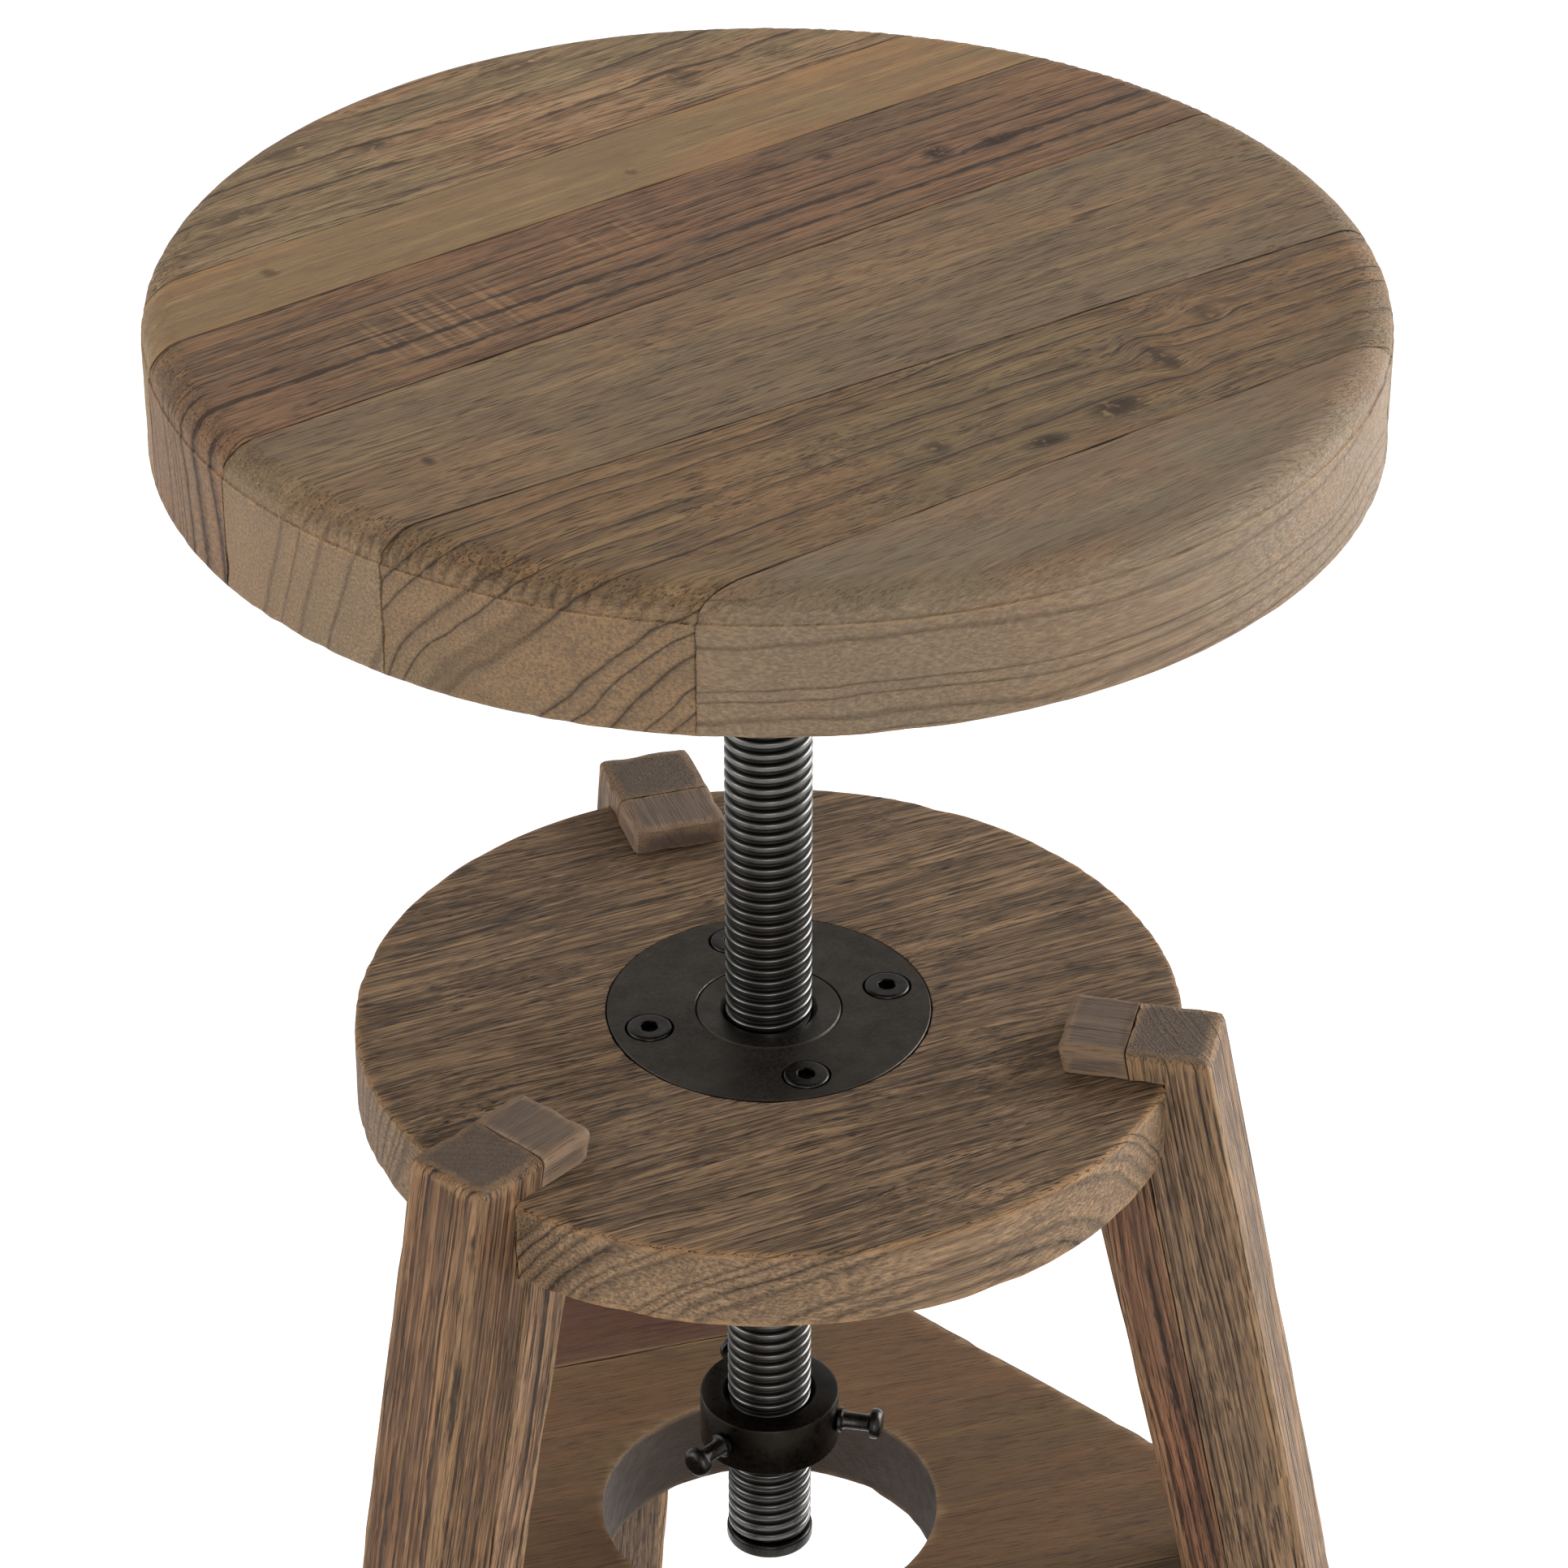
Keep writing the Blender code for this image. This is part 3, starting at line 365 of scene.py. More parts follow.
def eased(profile, radius):
    """A closed profile with every corner cut off by this much."""
    made = []
    for k, corner in enumerate(profile):
        here = Vector(corner)
        for other in (profile[k - 1], profile[(k + 1) % len(profile)]):
            way = Vector(other) - here
            made.append(tuple(here + way.normalized() * min(radius, way.length * 0.4)))
    return made


def cut_across(bm, faces, start, way, step, count):
    """Cuts these faces, or with None all there are, by planes a step apart, and returns what is left."""
    for k in range(count):
        if faces is None:
            geom = whole(bm)
        else:
            edges = dict.fromkeys(e for f in faces for e in f.edges)
            verts = dict.fromkeys(v for f in faces for v in f.verts)
            geom = [*edges, *verts, *faces]
        result = bmesh.ops.bisect_plane(
            bm, geom=geom, dist=1e-6, plane_co=start + way * (step * k), plane_no=way
        )
        if faces is not None:
            faces = [f for f in result["geom"] if isinstance(f, bmesh.types.BMFace)]
    return faces


def from_cad(node):
    """A bmesh of a CAD node's solid, its loose triangles joined into whole faces."""
    bm = bmesh.new()
    bm.from_mesh(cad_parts[node].data)
    bmesh.ops.remove_doubles(bm, verts=bm.verts, dist=2e-6)
    bmesh.ops.dissolve_limit(bm, angle_limit=radians(1.0), verts=bm.verts, edges=bm.edges)
    return bm


def weather(bm, turn, seed, depth=0.25, nick=0.5, mark=None, extra=None):
    """Wears a board: shallow hollows along the grain, and edges rubbed back unevenly. Points only move
    inwards. How worn each point is goes to an attribute, which the wood's colour reads; in a dirty
    joint it is below zero. mark gives a point's own wear, and extra how much deeper it is worn, in mm."""
    bm.normal_update()
    layer = bm.verts.layers.float.new("wear")
    edges = {
        v for e in bm.edges if len(e.link_faces) == 2 and e.calc_face_angle(0) > radians(14) for v in e.verts
    }
    tree = kdtree.KDTree(max(1, len(edges)))
    for k, vert in enumerate(edges):
        tree.insert(vert.co, k)
    tree.balance()
    moves = []
    for vert in bm.verts:
        worn = max(0.0, 1 - tree.find(vert.co)[2] / (3.2 * MM))
        vert[layer] = mark(vert.co, worn) if mark else worn
        at = turn @ vert.co * 1000 + Vector((seed * 97, 0, 0))
        waves = noise.noise((at.x * 0.03, at.y * 0.25, at.z * 0.25)) * 0.5 + 0.5
        ridges = noise.noise((at.x * 0.08, at.y * 0.9, at.z * 0.9)) * 0.5 + 0.5
        dents = max(0.0, noise.noise((at.x * 0.05, at.y * 0.16, at.z * 0.16 + 9)))
        back = depth * (0.6 * waves + 0.4 * ridges) + nick * worn * dents
        back += extra(vert.co) if extra else 0.0
        moves.append((vert, vert.normal * (back * MM)))
    for vert, back in moves:
        vert.co -= back
    return bm


# ---------------------------------------------------------------- instances
def new_tree(name, inputs):
    """A geometry node tree with these named inputs, what adds a node to it, and its own input and output."""
    tree = bpy.data.node_groups.new(name, "GeometryNodeTree")
    tree.interface.new_socket(name="Geometry", in_out="OUTPUT", socket_type="NodeSocketGeometry")
    for label, kind in inputs:
        tree.interface.new_socket(name=label, in_out="INPUT", socket_type="NodeSocket" + kind)
    given = tree.nodes.new("NodeGroupInput").outputs
    return tree, partial(add, tree), given, tree.nodes.new("NodeGroupOutput").inputs


def settled(node, shape, given):
    """The shape moved to its centre and made one real mesh with its finish."""
    moved = node("GeometryNodeTransform", {"Geometry": shape, "Translation": given["Centre"]})
    real = node("GeometryNodeRealizeInstances", {"Geometry": moved})
    return node("GeometryNodeSetMaterial", {"Geometry": real, "Material": given["Finish"]})


def grown(tree, values, mesh=None):
    """The plain mesh that a node tree makes from these values."""
    mesh = mesh or bpy.data.meshes.new(tree.name)
    holder = in_scene(tree.name, mesh)
    modifier = holder.modifiers.new(tree.name, "NODES")
    modifier.node_group = tree
    for socket in tree.interface.items_tree:
        if socket.in_out == "INPUT" and socket.name in values:
            modifier[socket.identifier] = values[socket.name]
    bpy.context.view_layer.update()
    graph = bpy.context.evaluated_depsgraph_get()
    made = bpy.data.meshes.new_from_object(holder.evaluated_get(graph))
    holder.modifiers.remove(modifier)
    bpy.data.objects.remove(holder, do_unlink=True)
    return made


def thread_tree():
    """A screw thread: a strip as wide as the pitch, wound up the rod, its height in each pitch from the
    strip's own coordinate."""
    tree, node, given, result = new_tree("thread", [
        ("Crest radius", "Float"), ("Depth", "Float"), ("Pitch", "Float"), ("Low", "Float"),
        ("High", "Float"), ("Centre", "Vector"), ("Finish", "Material"),
    ])
    length = node("Math.SUBTRACT", given["High"], given["Low"])
    turns = node("Math.DIVIDE", length, given["Pitch"])
    turns = node("Math.ADD", turns, 2.0)
    turns = node("Math.CEIL", turns)
    steps = node("Math.MULTIPLY_ADD", turns, 48.0, 1.0)
    grid = tree.nodes.new("GeometryNodeMeshGrid")
    grid.inputs["Vertices Y"].default_value = 15
    tree.links.new(steps, grid.inputs["Vertices X"])
    strip = node("SeparateXYZ", grid.outputs["UV Map"]).node.outputs
    wound = node("Math.MULTIPLY", strip["X"], turns)
    angle = node("Math.MULTIPLY", wound, 2 * pi)
    rows = node("Math.ADD", wound, strip["Y"])
    rows = node("Math.SUBTRACT", rows, 1.0)
    free = node("Math.MULTIPLY_ADD", rows, given["Pitch"], given["Low"])
    height = node("Clamp", {"Value": free, "Min": given["Low"], "Max": given["High"]})
    # The crest is a quarter of the pitch wide and the root nearly half, with rounded flanks between.
    slope = node("Math.MULTIPLY_ADD", strip["Y"], 2.0, -1.0)
    slope = node("Math.ABSOLUTE", slope)
    ridge = node("MapRange.SMOOTHSTEP", slope, 0.2, 0.62)
    root = node("Math.SUBTRACT", given["Crest radius"], given["Depth"])
    radius = node("Math.MULTIPLY_ADD", ridge, given["Depth"], root)
    # Both ends are chamfered down to the root.
    up = node("Math.SUBTRACT", height, given["Low"])
    down = node("Math.SUBTRACT", given["High"], height)
    near = node("Math.MINIMUM", up, down)
    limit = node("Math.ADD", root, near)
    radius = node("Math.MINIMUM", radius, limit)
    x = node("Math.COSINE", angle)
    x = node("Math.MULTIPLY", x, radius)
    y = node("Math.SINE", angle)
    y = node("Math.MULTIPLY", y, radius)
    place = node("CombineXYZ", x, y, height)
    strip_mesh = node("GeometryNodeSetPosition", {"Geometry": grid.outputs["Mesh"], "Position": place})
    sewn = node("GeometryNodeMergeByDistance", {"Geometry": strip_mesh, "Distance": 2e-6})
    ends = []
    for level in ("Low", "High"):
        spot = node("CombineXYZ", {"Z": given[level]})
        cap = node("GeometryNodeMeshCircle", {"Vertices": 48, "Radius": root}, fill_type="NGON")
        ends.append(node("GeometryNodeTransform", {"Geometry": cap, "Translation": spot}))
    joined = tree.nodes.new("GeometryNodeJoinGeometry")
    for part in (sewn, *ends):
        tree.links.new(part, joined.inputs[0])
    tree.links.new(settled(node, joined.outputs[0], given), result[0])
    return tree


def ring_tree():
    """Copies of the holder's own mesh round a vertical axis, each turned to face outwards and then
    spun by chance about its own axis."""
    tree, node, given, result = new_tree("ring", [
        ("Piece", "Geometry"), ("Count", "Int"), ("Radius", "Float"), ("Start", "Float"),
        ("Loose turn", "Float"), ("Seed", "Int"), ("Centre", "Vector"), ("Finish", "Material"),
    ])
    points = node("GeometryNodePoints", {"Count": given["Count"]})
    index = node("GeometryNodeInputIndex")
    share = node("Math.DIVIDE", index, given["Count"])
    angle = node("Math.MULTIPLY_ADD", share, 2 * pi, given["Start"])
    x = node("Math.COSINE", angle)
    y = node("Math.SINE", angle)
    ray = node("CombineXYZ", x, y)
    spot = node("VectorMath.SCALE", {0: ray, "Scale": given["Radius"]})
    placed = node("GeometryNodeSetPosition", {"Geometry": points, "Position": spot})
    chance = {2: 0.0, 3: given["Loose turn"], "Seed": given["Seed"]}
    extra = node("FunctionNodeRandomValue", chance, out=1, data_type="FLOAT")
    total = node("Math.ADD", angle, extra)
    facing = node("CombineXYZ", {"Z": total})
    laid = {"Points": placed, "Instance": given["Piece"], "Rotation": facing}
    tree.links.new(settled(node, node("GeometryNodeInstanceOnPoints", laid), given), result[0])
    return tree


def drilled(bm, *cutters):
    """The bmesh with these solids cut out of it."""
    holder = in_scene("solid", mesh_from(bm, "solid"))
    tools = [in_scene(f"tool_{k}", mesh_from(cutter, f"tool_{k}")) for k, cutter in enumerate(cutters)]
    for tool in tools:
        modifier = holder.modifiers.new(tool.name, "BOOLEAN")
        modifier.operation = "DIFFERENCE"
        modifier.solver = "EXACT"
        modifier.object = tool
    bpy.context.view_layer.update()
    graph = bpy.context.evaluated_depsgraph_get()
    made = bmesh.new()
    result = bpy.data.meshes.new_from_object(holder.evaluated_get(graph))
    made.from_mesh(result)
    for obj in (holder, *tools):
        bpy.data.objects.remove(obj, do_unlink=True)
    return made


def block(low, high, turn=0.0, centre=AXIS):
    """A box between two corners, turned about the vertical axis through centre."""
    bm = bmesh.new()
    bmesh.ops.create_cube(bm, size=1.0)
    size, spot = Vector(high) - Vector(low), (Vector(high) + Vector(low)) / 2
    for vert in bm.verts:
        vert.co = Vector((vert.co.x * size.x, vert.co.y * size.y, vert.co.z * size.z)) + spot
    bmesh.ops.rotate(bm, cent=(0, 0, 0), matrix=Matrix.Rotation(turn, 3, "Z"), verts=bm.verts)
    bmesh.ops.translate(bm, vec=centre, verts=bm.verts)
    return bm


# ---------------------------------------------------------------- wooden pieces
def flat_faces(bm, height):
    return [f for f in bm.faces if abs(f.normal.z) > 0.99 and abs(f.calc_center_median().z - height) < 1e-4]


def seat_section():
    """The seat's section from its top's middle to its underside's: a broad roll ends in a crease that
    wear has left on the upright side."""
    lower = 2.2 * MM
    crease = SEAT_HIGH - SEAT_DROP
    top = [
        (SEAT_RADIUS - SEAT_ROLL + SEAT_ROLL * x, crease + SEAT_DROP * z)
        for x, z in arc((0, 0), 1, 90, 20, 12)
    ]
    top += [(SEAT_RADIUS - 0.55 * MM, crease + 1.4 * MM), (SEAT_RADIUS - 0.5 * MM, crease + 0.5 * MM)]
    side = [(SEAT_RADIUS - k * 0.02 * MM, crease + (SEAT_LOW + lower - crease) * k / 12) for k in range(12)]
    under = arc((SEAT_RADIUS - lower, SEAT_LOW + lower), lower, 0, -90, 4)
    return [(0, SEAT_HIGH)] + top + side + under + [(0, SEAT_LOW)]


def seat_board(round_seat, number, finish, turn):
    """The slice of the turned seat between two glue lines."""
    bm = round_seat.copy()
    joints = (None, *SEAT_JOINTS, None)
    sides = []
    for joint, way in ((joints[number - 1], 1), (joints[number], -1)):
        if joint is None:
            continue
        offset, degrees, gap = joint
        across = Vector((-sin(radians(degrees)), cos(radians(degrees)), 0))
        spot = AXIS + across * (offset - way * gap / 2) * MM
        sides.append((spot, across))
        bmesh.ops.bisect_plane(
            bm, geom=whole(bm), dist=1e-7, clear_outer=True,
            plane_co=spot, plane_no=across * way,
        )
        bmesh.ops.holes_fill(bm, edges=[e for e in bm.edges if e.is_boundary])
        # A narrow strip beside the joint holds its dirt.
        bmesh.ops.bisect_plane(
            bm, geom=whole(bm), dist=1e-7,
            plane_co=spot - across * way * (0.5 * MM + gap * MM), plane_no=across * way,
        )
    for height in (SEAT_HIGH, SEAT_LOW):
        bmesh.ops.dissolve_faces(bm, faces=flat_faces(bm, height))
    along, across = turn[0].copy(), turn[1].copy()
    for height in (SEAT_HIGH, SEAT_LOW):
        faces = flat_faces(bm, height)
        faces = cut_across(bm, faces, AXIS - along * 172 * MM, along, 8 * MM, 44)
        faces = cut_across(bm, faces, AXIS - across * 172 * MM, across, 4 * MM, 87)
        for spot, way in sides:
            for shift in (-0.7, 0.7):
                faces = cut_across(bm, faces, spot + way * shift * MM, way, 1, 1)

    def mark(co, worn):
        if any(abs((co - spot).dot(way)) < 0.2 * MM for spot, way in sides):
            on_top = (co - AXIS).xy.length < SEAT_RADIUS - 4 * MM
            return -0.6 - 0.9 * noise.noise(co * 30) if on_top else 0.0
        low_edge = (co.z - SEAT_LOW) + (SEAT_RADIUS - (co - AXIS).xy.length)
        ridge = abs(co.z - (SEAT_HIGH - SEAT_DROP)) + (SEAT_RADIUS - (co - AXIS).xy.length)
        rubbed = max(0.0, 1.1 - low_edge / (3 * MM), 0.8 - ridge / (1.2 * MM))
        # Between the ribs on the rolled edge, the colour is darker.
        return rubbed or -0.65 * ribs(co)

    def ribs(co):
        """Brushing has cut ribs across the rolled edge where it crosses the end grain, on two sides."""
        ray = co - AXIS
        out = ray.xy.length
        if out < SEAT_RADIUS - SEAT_DROP:
            return 0.0
        turn_on = (atan2(ray.y, ray.x) - radians(48) + pi / 2) % pi - pi / 2
        end_grain = max(0.0, 1 - (turn_on / radians(40))**2)
        rolled = max(0.0, 1 - abs(co.z - (SEAT_HIGH - 5 * MM)) / (5 * MM))
        step = (turn @ ray).y * 1000 / 3.6 + noise.noise(ray * 40) * 0.9
        return min(1.0, 1.6 * rolled) * end_grain * (0.5 + 0.5 * cos(step * 2 * pi))

    weather(bm, turn, number, depth=0.3, nick=0.5, mark=mark, extra=ribs)
    piece(f"seat_board_{number}_worn", bm, finish, "seat", f"seat_board_{number}")


def disc_board(finish, turn):
    """The leg disc: turned, let in for the flange, and housed for the legs."""
    recess, neck = radius_of("flange_plate") + 0.25 * MM, radius_of("nut_hub") - HUB_LEDGE
    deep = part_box("flange_plate")[0].z - 0.25 * MM
    edge = 1.7 * MM
    rim = arc((DISC_RADIUS - edge, DISC_HIGH - edge), edge, 90, 0, 4)
    drop = DISC_HIGH - DISC_LOW - 2 * edge
    rim += [(DISC_RADIUS, DISC_HIGH - edge - drop * k / 9) for k in range(1, 9)]
    rim += arc((DISC_RADIUS - edge, DISC_LOW + edge), edge, 0, -90, 4)
    profile = [(neck, deep), (recess, deep), (recess, DISC_HIGH - 0.3 * MM), (recess + 0.3 * MM, DISC_HIGH)]
    bm = turned(profile + rim + [(neck, DISC_LOW)], 540)
    seat = 123.0 * MM
    cuts = [
        block((seat, -15.3 * MM, DISC_LOW - 0.01), (0.14, 15.3 * MM, DISC_HIGH + 0.01), azimuth)
        for azimuth in LEG_AZIMUTHS
    ]
    bm = drilled(bm, *cuts)
    bmesh.ops.dissolve_limit(bm, angle_limit=radians(0.5), verts=flat_verts(bm), edges=flat_edges(bm))
    along, across = turn[0].copy(), turn[1].copy()
    for height in (DISC_HIGH, DISC_LOW):
        faces = flat_faces(bm, height)
        faces = cut_across(bm, faces, AXIS - along * 124 * MM, along, 8 * MM, 32)
        cut_across(bm, faces, AXIS - across * 124 * MM, across, 3 * MM, 83)

    def mark(co, worn):
        return worn if (co - AXIS).xy.length > recess + 4 * MM else 0.0

    weather(bm, turn, 21, depth=0.35, nick=0.7, mark=mark)
    piece("leg_disc_worn", bm, finish, "frame", "leg_disc")


def flat_edges(bm):
    return [e for e in bm.edges if all(abs(f.normal.z) > 0.999 for f in e.link_faces)]


def flat_verts(bm):
    return [v for v in bm.verts if all(abs(f.normal.z) > 0.999 for f in v.link_faces)]


def beam(node, finish, turn, seed, fine=4.0, snap=None, nick=0.9):
    """A straight board from its CAD solid, cut into small faces and weathered. snap is the radius of a
    round hole about the screw's axis, whose new points are put on the true circle."""
    bm = from_cad(node)
    spots = [turn @ v.co for v in bm.verts]
    for axis, step in ((0, fine * 2), (1, fine), (2, fine)):
        low, high = min(p[axis] for p in spots), max(p[axis] for p in spots)
        count = int((high - low) / (step * MM))
        way = turn[axis].copy()
        start = way * (low + (high - low - count * step * MM) / 2)
        cut_across(bm, None, start, way, step * MM, count + 1)
    if snap:
        for vert in bm.verts:
            ray = (vert.co - AXIS).xy
            if abs(ray.length - snap) < 0.3 * MM:
                vert.co.xy = AXIS.xy + ray.normalized() * snap
    bmesh.ops.triangulate(bm, faces=[f for f in bm.faces if len(f.verts) > 4])
    weather(bm, turn, seed, nick=nick)
    piece(f"{node}_worn", bm, finish, "frame", node)


def build_wood():
    # Reclaimed elm floor boards, planed by hand and waxed: each board has its own brown, with dark pores.
    # Tones are pore, dark, middle, second middle, light.
    seat = {
        1: dict(tones=(
            "463627", "72573e", "a17956", "8c7957", "b1926e"
        ), rings=(5.0, 30, 560), warp=16, pores=0.9,
                fibre=0.8, crack=0.8, streak=0.95, late=0.4, relief=1.8, grime=0.85,
                knots=((-38, 137, 8, 3, 0.7), (60, 121, 8, 5, 0.6), (30, 158, 12, 2, 0.6),
                       (-95, 122, 16, 2.5, 0.7), (-60, 150, 14, 2.5, 0.6), (95, 118, 8, 4, 0.5))),
        2: dict(tones=(
            "58432b", "7c6044", "99734c", "826c4b", "a5865f"
        ), rings=(9, 260, 500), warp=8, pores=0.35,
                fibre=0.5, crack=0.15, streak=0.8, late=0.3, relief=0.8, grime=0.6,
                knots=((-108, 88, 4, 2.5, 0.8), (10, 78, 2.5, 2, 0.7))),
        3: dict(tones=(
            "2d1f15", "614633", "866144", "735b42", "997350"
        ), rings=(6.2, 420, 590), warp=10, pores=0.8,
                fibre=0.85, crack=1.0, streak=0.9, late=0.4, relief=1.4, grime=0.7, worn="a07c57",
                saw=((-85, 34, 50, 26, 0.6), (-20, 50, 26, 16, 0.35)),
                knots=((88, 34, 7, 4, 0.95), (108, 30, 9, 3, 0.9), (60, 52, 5, 2, 0.7))),
        4: dict(tones=(
            "453527", "6b553f", "87684a", "746249", "947a59"
        ), rings=(12, -330, 560), warp=14, pores=1.0,
                fibre=0.8, crack=0.5, streak=0.75, late=0.4, relief=1.1, grime=0.7,
                knots=((-133, -33, 2.5, 2, 0.9), (96, -22, 6, 2, 0.6))),
        5: dict(tones=(
            "342618", "5d4731", "826242", "715f42", "927654"
        ), rings=(9, -300, 540), warp=24, pores=0.85,
                fibre=0.75, crack=1.1, streak=0.8, late=0.5, relief=1.3, grime=0.7,
                knots=((35, -112, 13, 5, 0.9), (62, -96, 5, 8, 0.8), (-18, -100, 5, 4, 0.7),
                       (8, -117, 10, 3, 0.95), (88, -84, 6, 4, 0.6))),
        6: dict(tones=(
            "4a3928", "6c5843", "80654b", "73664e", "927b61"
        ), rings=(8, -150, 545), warp=26, pores=0.5,
                fibre=0.6, crack=0.1, streak=0.6, late=0.35, relief=1.2, grime=0.5),
    }
    round_seat = turned(seat_section(), 1440)
    turns = {1: 20.6, 2: 20.0, 3: 19.5, 4: 18.0, 5: 17.6, 6: 19.3}
    for number, look in seat.items():
        way = radians(turns[number])
        turn = board_frame((cos(way), sin(way), 0), (0, 0, 1))
        look.setdefault("worn", "a5825a")
        finish = wood(f"reclaimed_elm_seat_{number}", turn, seed=number, upright=("6a5b4c", 0.55), **look)
        seat_board(round_seat, number, finish, turn)

    # Elm brushed hard with a steel brush: the soft wood is gone, and the hard lines stand up pale.
    turn = board_frame((cos(radians(7)), sin(radians(7)), 0), (0, 0, 1))
    finish = wood(
        "brushed_elm_disc", turn, (
            "281d14", "4b3928", "866b4f", "7a6147", "a98967"
        ), 11, rings=(4.4, -190, 370),
        short=1.35, warp=20, late=0.45, fibre=1.0, pores=1.0, crack=0.5, streak=0.9,
        upright=("7a634d", 0.5), grime=0.7, relief=2.6, worn="a8825a", rub=0.7,
    )
    disc_board(finish, turn)

    # The same elm with an older, redder wax, smooth and dull.
    turn = board_frame((1, 0, 0), (0, 0, 1))
    shelf = {
        "shelf_back_board": (("3a231a", "4c2f22", "5d4030", "573829", "6b4a37"), 14),
        "shelf_middle_board": (("392719", "58402b", "694b30", "634d30", "785c40"), 15),
        "shelf_front_board": (("39281a", "543e27", "5e4730", "644a2f", "70553a"), 16),
    }
    for node, (tones, seed) in shelf.items():
        # end paints the middle board's hole wall dark: painted shade inside the hole.
        finish = wood(
            f"reclaimed_elm_{node}", turn, tones, seed, rings=(8, 160, 150), warp=16, late=0.25, fibre=0.5,
            pores=0.6, crack=0.2, streak=0.6, grime=0.8, relief=0.9, worn="8f7354",
            end=("302620", 0.9, 56),
        )
        beam(node, finish, turn, seed, snap=53.2 * MM if node == "shelf_middle_board" else None)

    # Brushed elm with close rings, so that each leg shows fine stripes along its length.
    legs = {
        1: (
            ("2a1f17", "4a3828", "705840", "785f48", "95795a"),
            ("2a1f17", "463426", "6b523c", "6e5743", "896d52"),
        ),
        2: (
            ("2a1c12", "48301f", "7a5638", "755a3f", "9a7350"),
            ("2a1d13", "50392a", "8c6a4a", "907258", "ab8766"),
        ),
        3: (
            ("2a1f17", "493526", "795e45", "7e664e", "9e7c5b"),
            ("2b1b13", "4d3323", "7c5039", "74553f", "986a4b"),
        ),
    }
    for number, azimuth in enumerate(LEG_AZIMUTHS, start=1):
        out = Vector((cos(azimuth), sin(azimuth), 0))
        grain = out * sin(LEG_LEAN) - Vector((0, 0, cos(LEG_LEAN)))
        turn = board_frame(grain, out)
        for part, tones, heart in (("outer", legs[number][0], 35), ("inner", legs[number][1], -70)):
            finish = wood(
                f"brushed_elm_leg_{number}_{part}", turn, tones, 20 + 3 * number + len(part) % 2,
                rings=(2.7, heart, 260), warp=10, late=0.6, fibre=0.95, pores=0.8, crack=0.75, streak=0.9,
                grime=0.7, relief=2.0, worn="a5825c", rub=0.4, end=("5d4f42", 0.8, 0),
            )
            beam(f"leg_{number}_{part}_board", finish, turn, 30 + number)
        # Hooks are smooth, so their tops have only a faint grain.
        cap = wood(
            f"waxed_elm_hook_{number}", board_frame(out, (0, 0, 1)), (
                "35291f", "54453a", "66564a", "6a5949", "7d6b5a"
            ),
            50 + number, rings=(6, 200, 330), warp=8, late=0.25, fibre=0.45, pores=0.5, crack=0.3, streak=0.4,
            relief=0.8, worn="9a7a5a", rub=0.4,
        )
        beam(f"leg_{number}_top_hook", cap, turn, 40 + number, fine=2.5)


# ---------------------------------------------------------------- metal pieces
def build_metal():
    # Hot-rolled steel, heat-blackened and oiled: near black, with a soft wide sheen.
    iron = metal("blackened_iron_flange", "46423d", "3a3631", 0.5, grit=1.2)
    hub_iron = metal("blackened_iron_hub", "45413c", "3a3631", 0.42, grit=1.2)
    collar_iron = metal("blackened_iron_collar", "2a2622", "1f1c19", 0.34, grit=1.6)
    # Socket screws, chemically blacked: darker and a little glossier.
    black = metal("black_oxide_screws", "3b3937", "2d2b29", 0.32, grit=0.8)
    # Rolled thread of bare steel under oil: bright where the crests rub, roots painted dark as painted shade.
    steel = thread_steel()
    # Zinc plate: pale grey, a little cloudy, and duller than bare steel.
    zinc = metal("zinc_plated_steel", "b4b3ae", "9d9c97", 0.38, grit=3.0)

    thread = grown(thread_tree(), {
        "Crest radius": radius_of("height_screw"), "Depth": THREAD_DEPTH, "Pitch": THREAD_PITCH,
        "Low": SCREW_LOW, "High": SCREW_HIGH, "Centre": AXIS, "Finish": steel,
    })
    piece("height_screw_thread", thread, steel, "seat", "height_screw", sharp=60)

    around = ring_tree()
    bore = radius_of("height_screw") + BORE_ROOM
    low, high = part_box("flange_plate")
    outer, hub = radius_of("flange_plate"), radius_of("nut_hub")
    step = high.z - 2.8 * MM
    ring = eased([
        (hub + 0.22 * MM, high.z), (outer, high.z), (outer, low.z), (hub - HUB_LEDGE, low.z),
        (hub - HUB_LEDGE, step), (hub + 0.22 * MM, step),
    ], 0.25 * MM)
    holes = []
    for bolt in numbered("flange_bolt", 4):
        spot = middle(bolt)
        holes.append(turned([
            (0, high.z + 0.01), (7.5 * MM, high.z + 0.01), (7.5 * MM, high.z), (7.35 * MM, high.z - 0.3 * MM),
            (7.35 * MM, high.z - 3 * MM), (3.3 * MM, high.z - 3 * MM), (3.3 * MM, low.z - 0.01),
            (0, low.z - 0.01),
        ], 48, spot.xy.to_3d()))
    piece("flange_plate_fine", drilled(turned(ring, 160), *holes), iron, "frame", "flange_plate")

    top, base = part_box("nut_hub")[1].z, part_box("nut_hub")[0].z
    profile = [
        (bore, top - 1.4 * MM), (bore + 1.2 * MM, top - 0.1 * MM), (bore + 1.45 * MM, top),
        (hub - 0.55 * MM, top), (hub, top - 0.5 * MM), (hub, top - 2.5 * MM),
        (hub - 2.5 * MM, top - 2.5 * MM), (hub - 2.5 * MM, base), (bore + 1.2 * MM, base),
        (bore, base + 1.2 * MM),
    ]
    piece("nut_hub_fine", turned(profile, 128), hub_iron, "frame", "nut_hub")

    build_bolts(around, black, zinc)
    build_collar(around, collar_iron, black)
    build_end_stop(black)
    build_plate(around, iron, zinc)


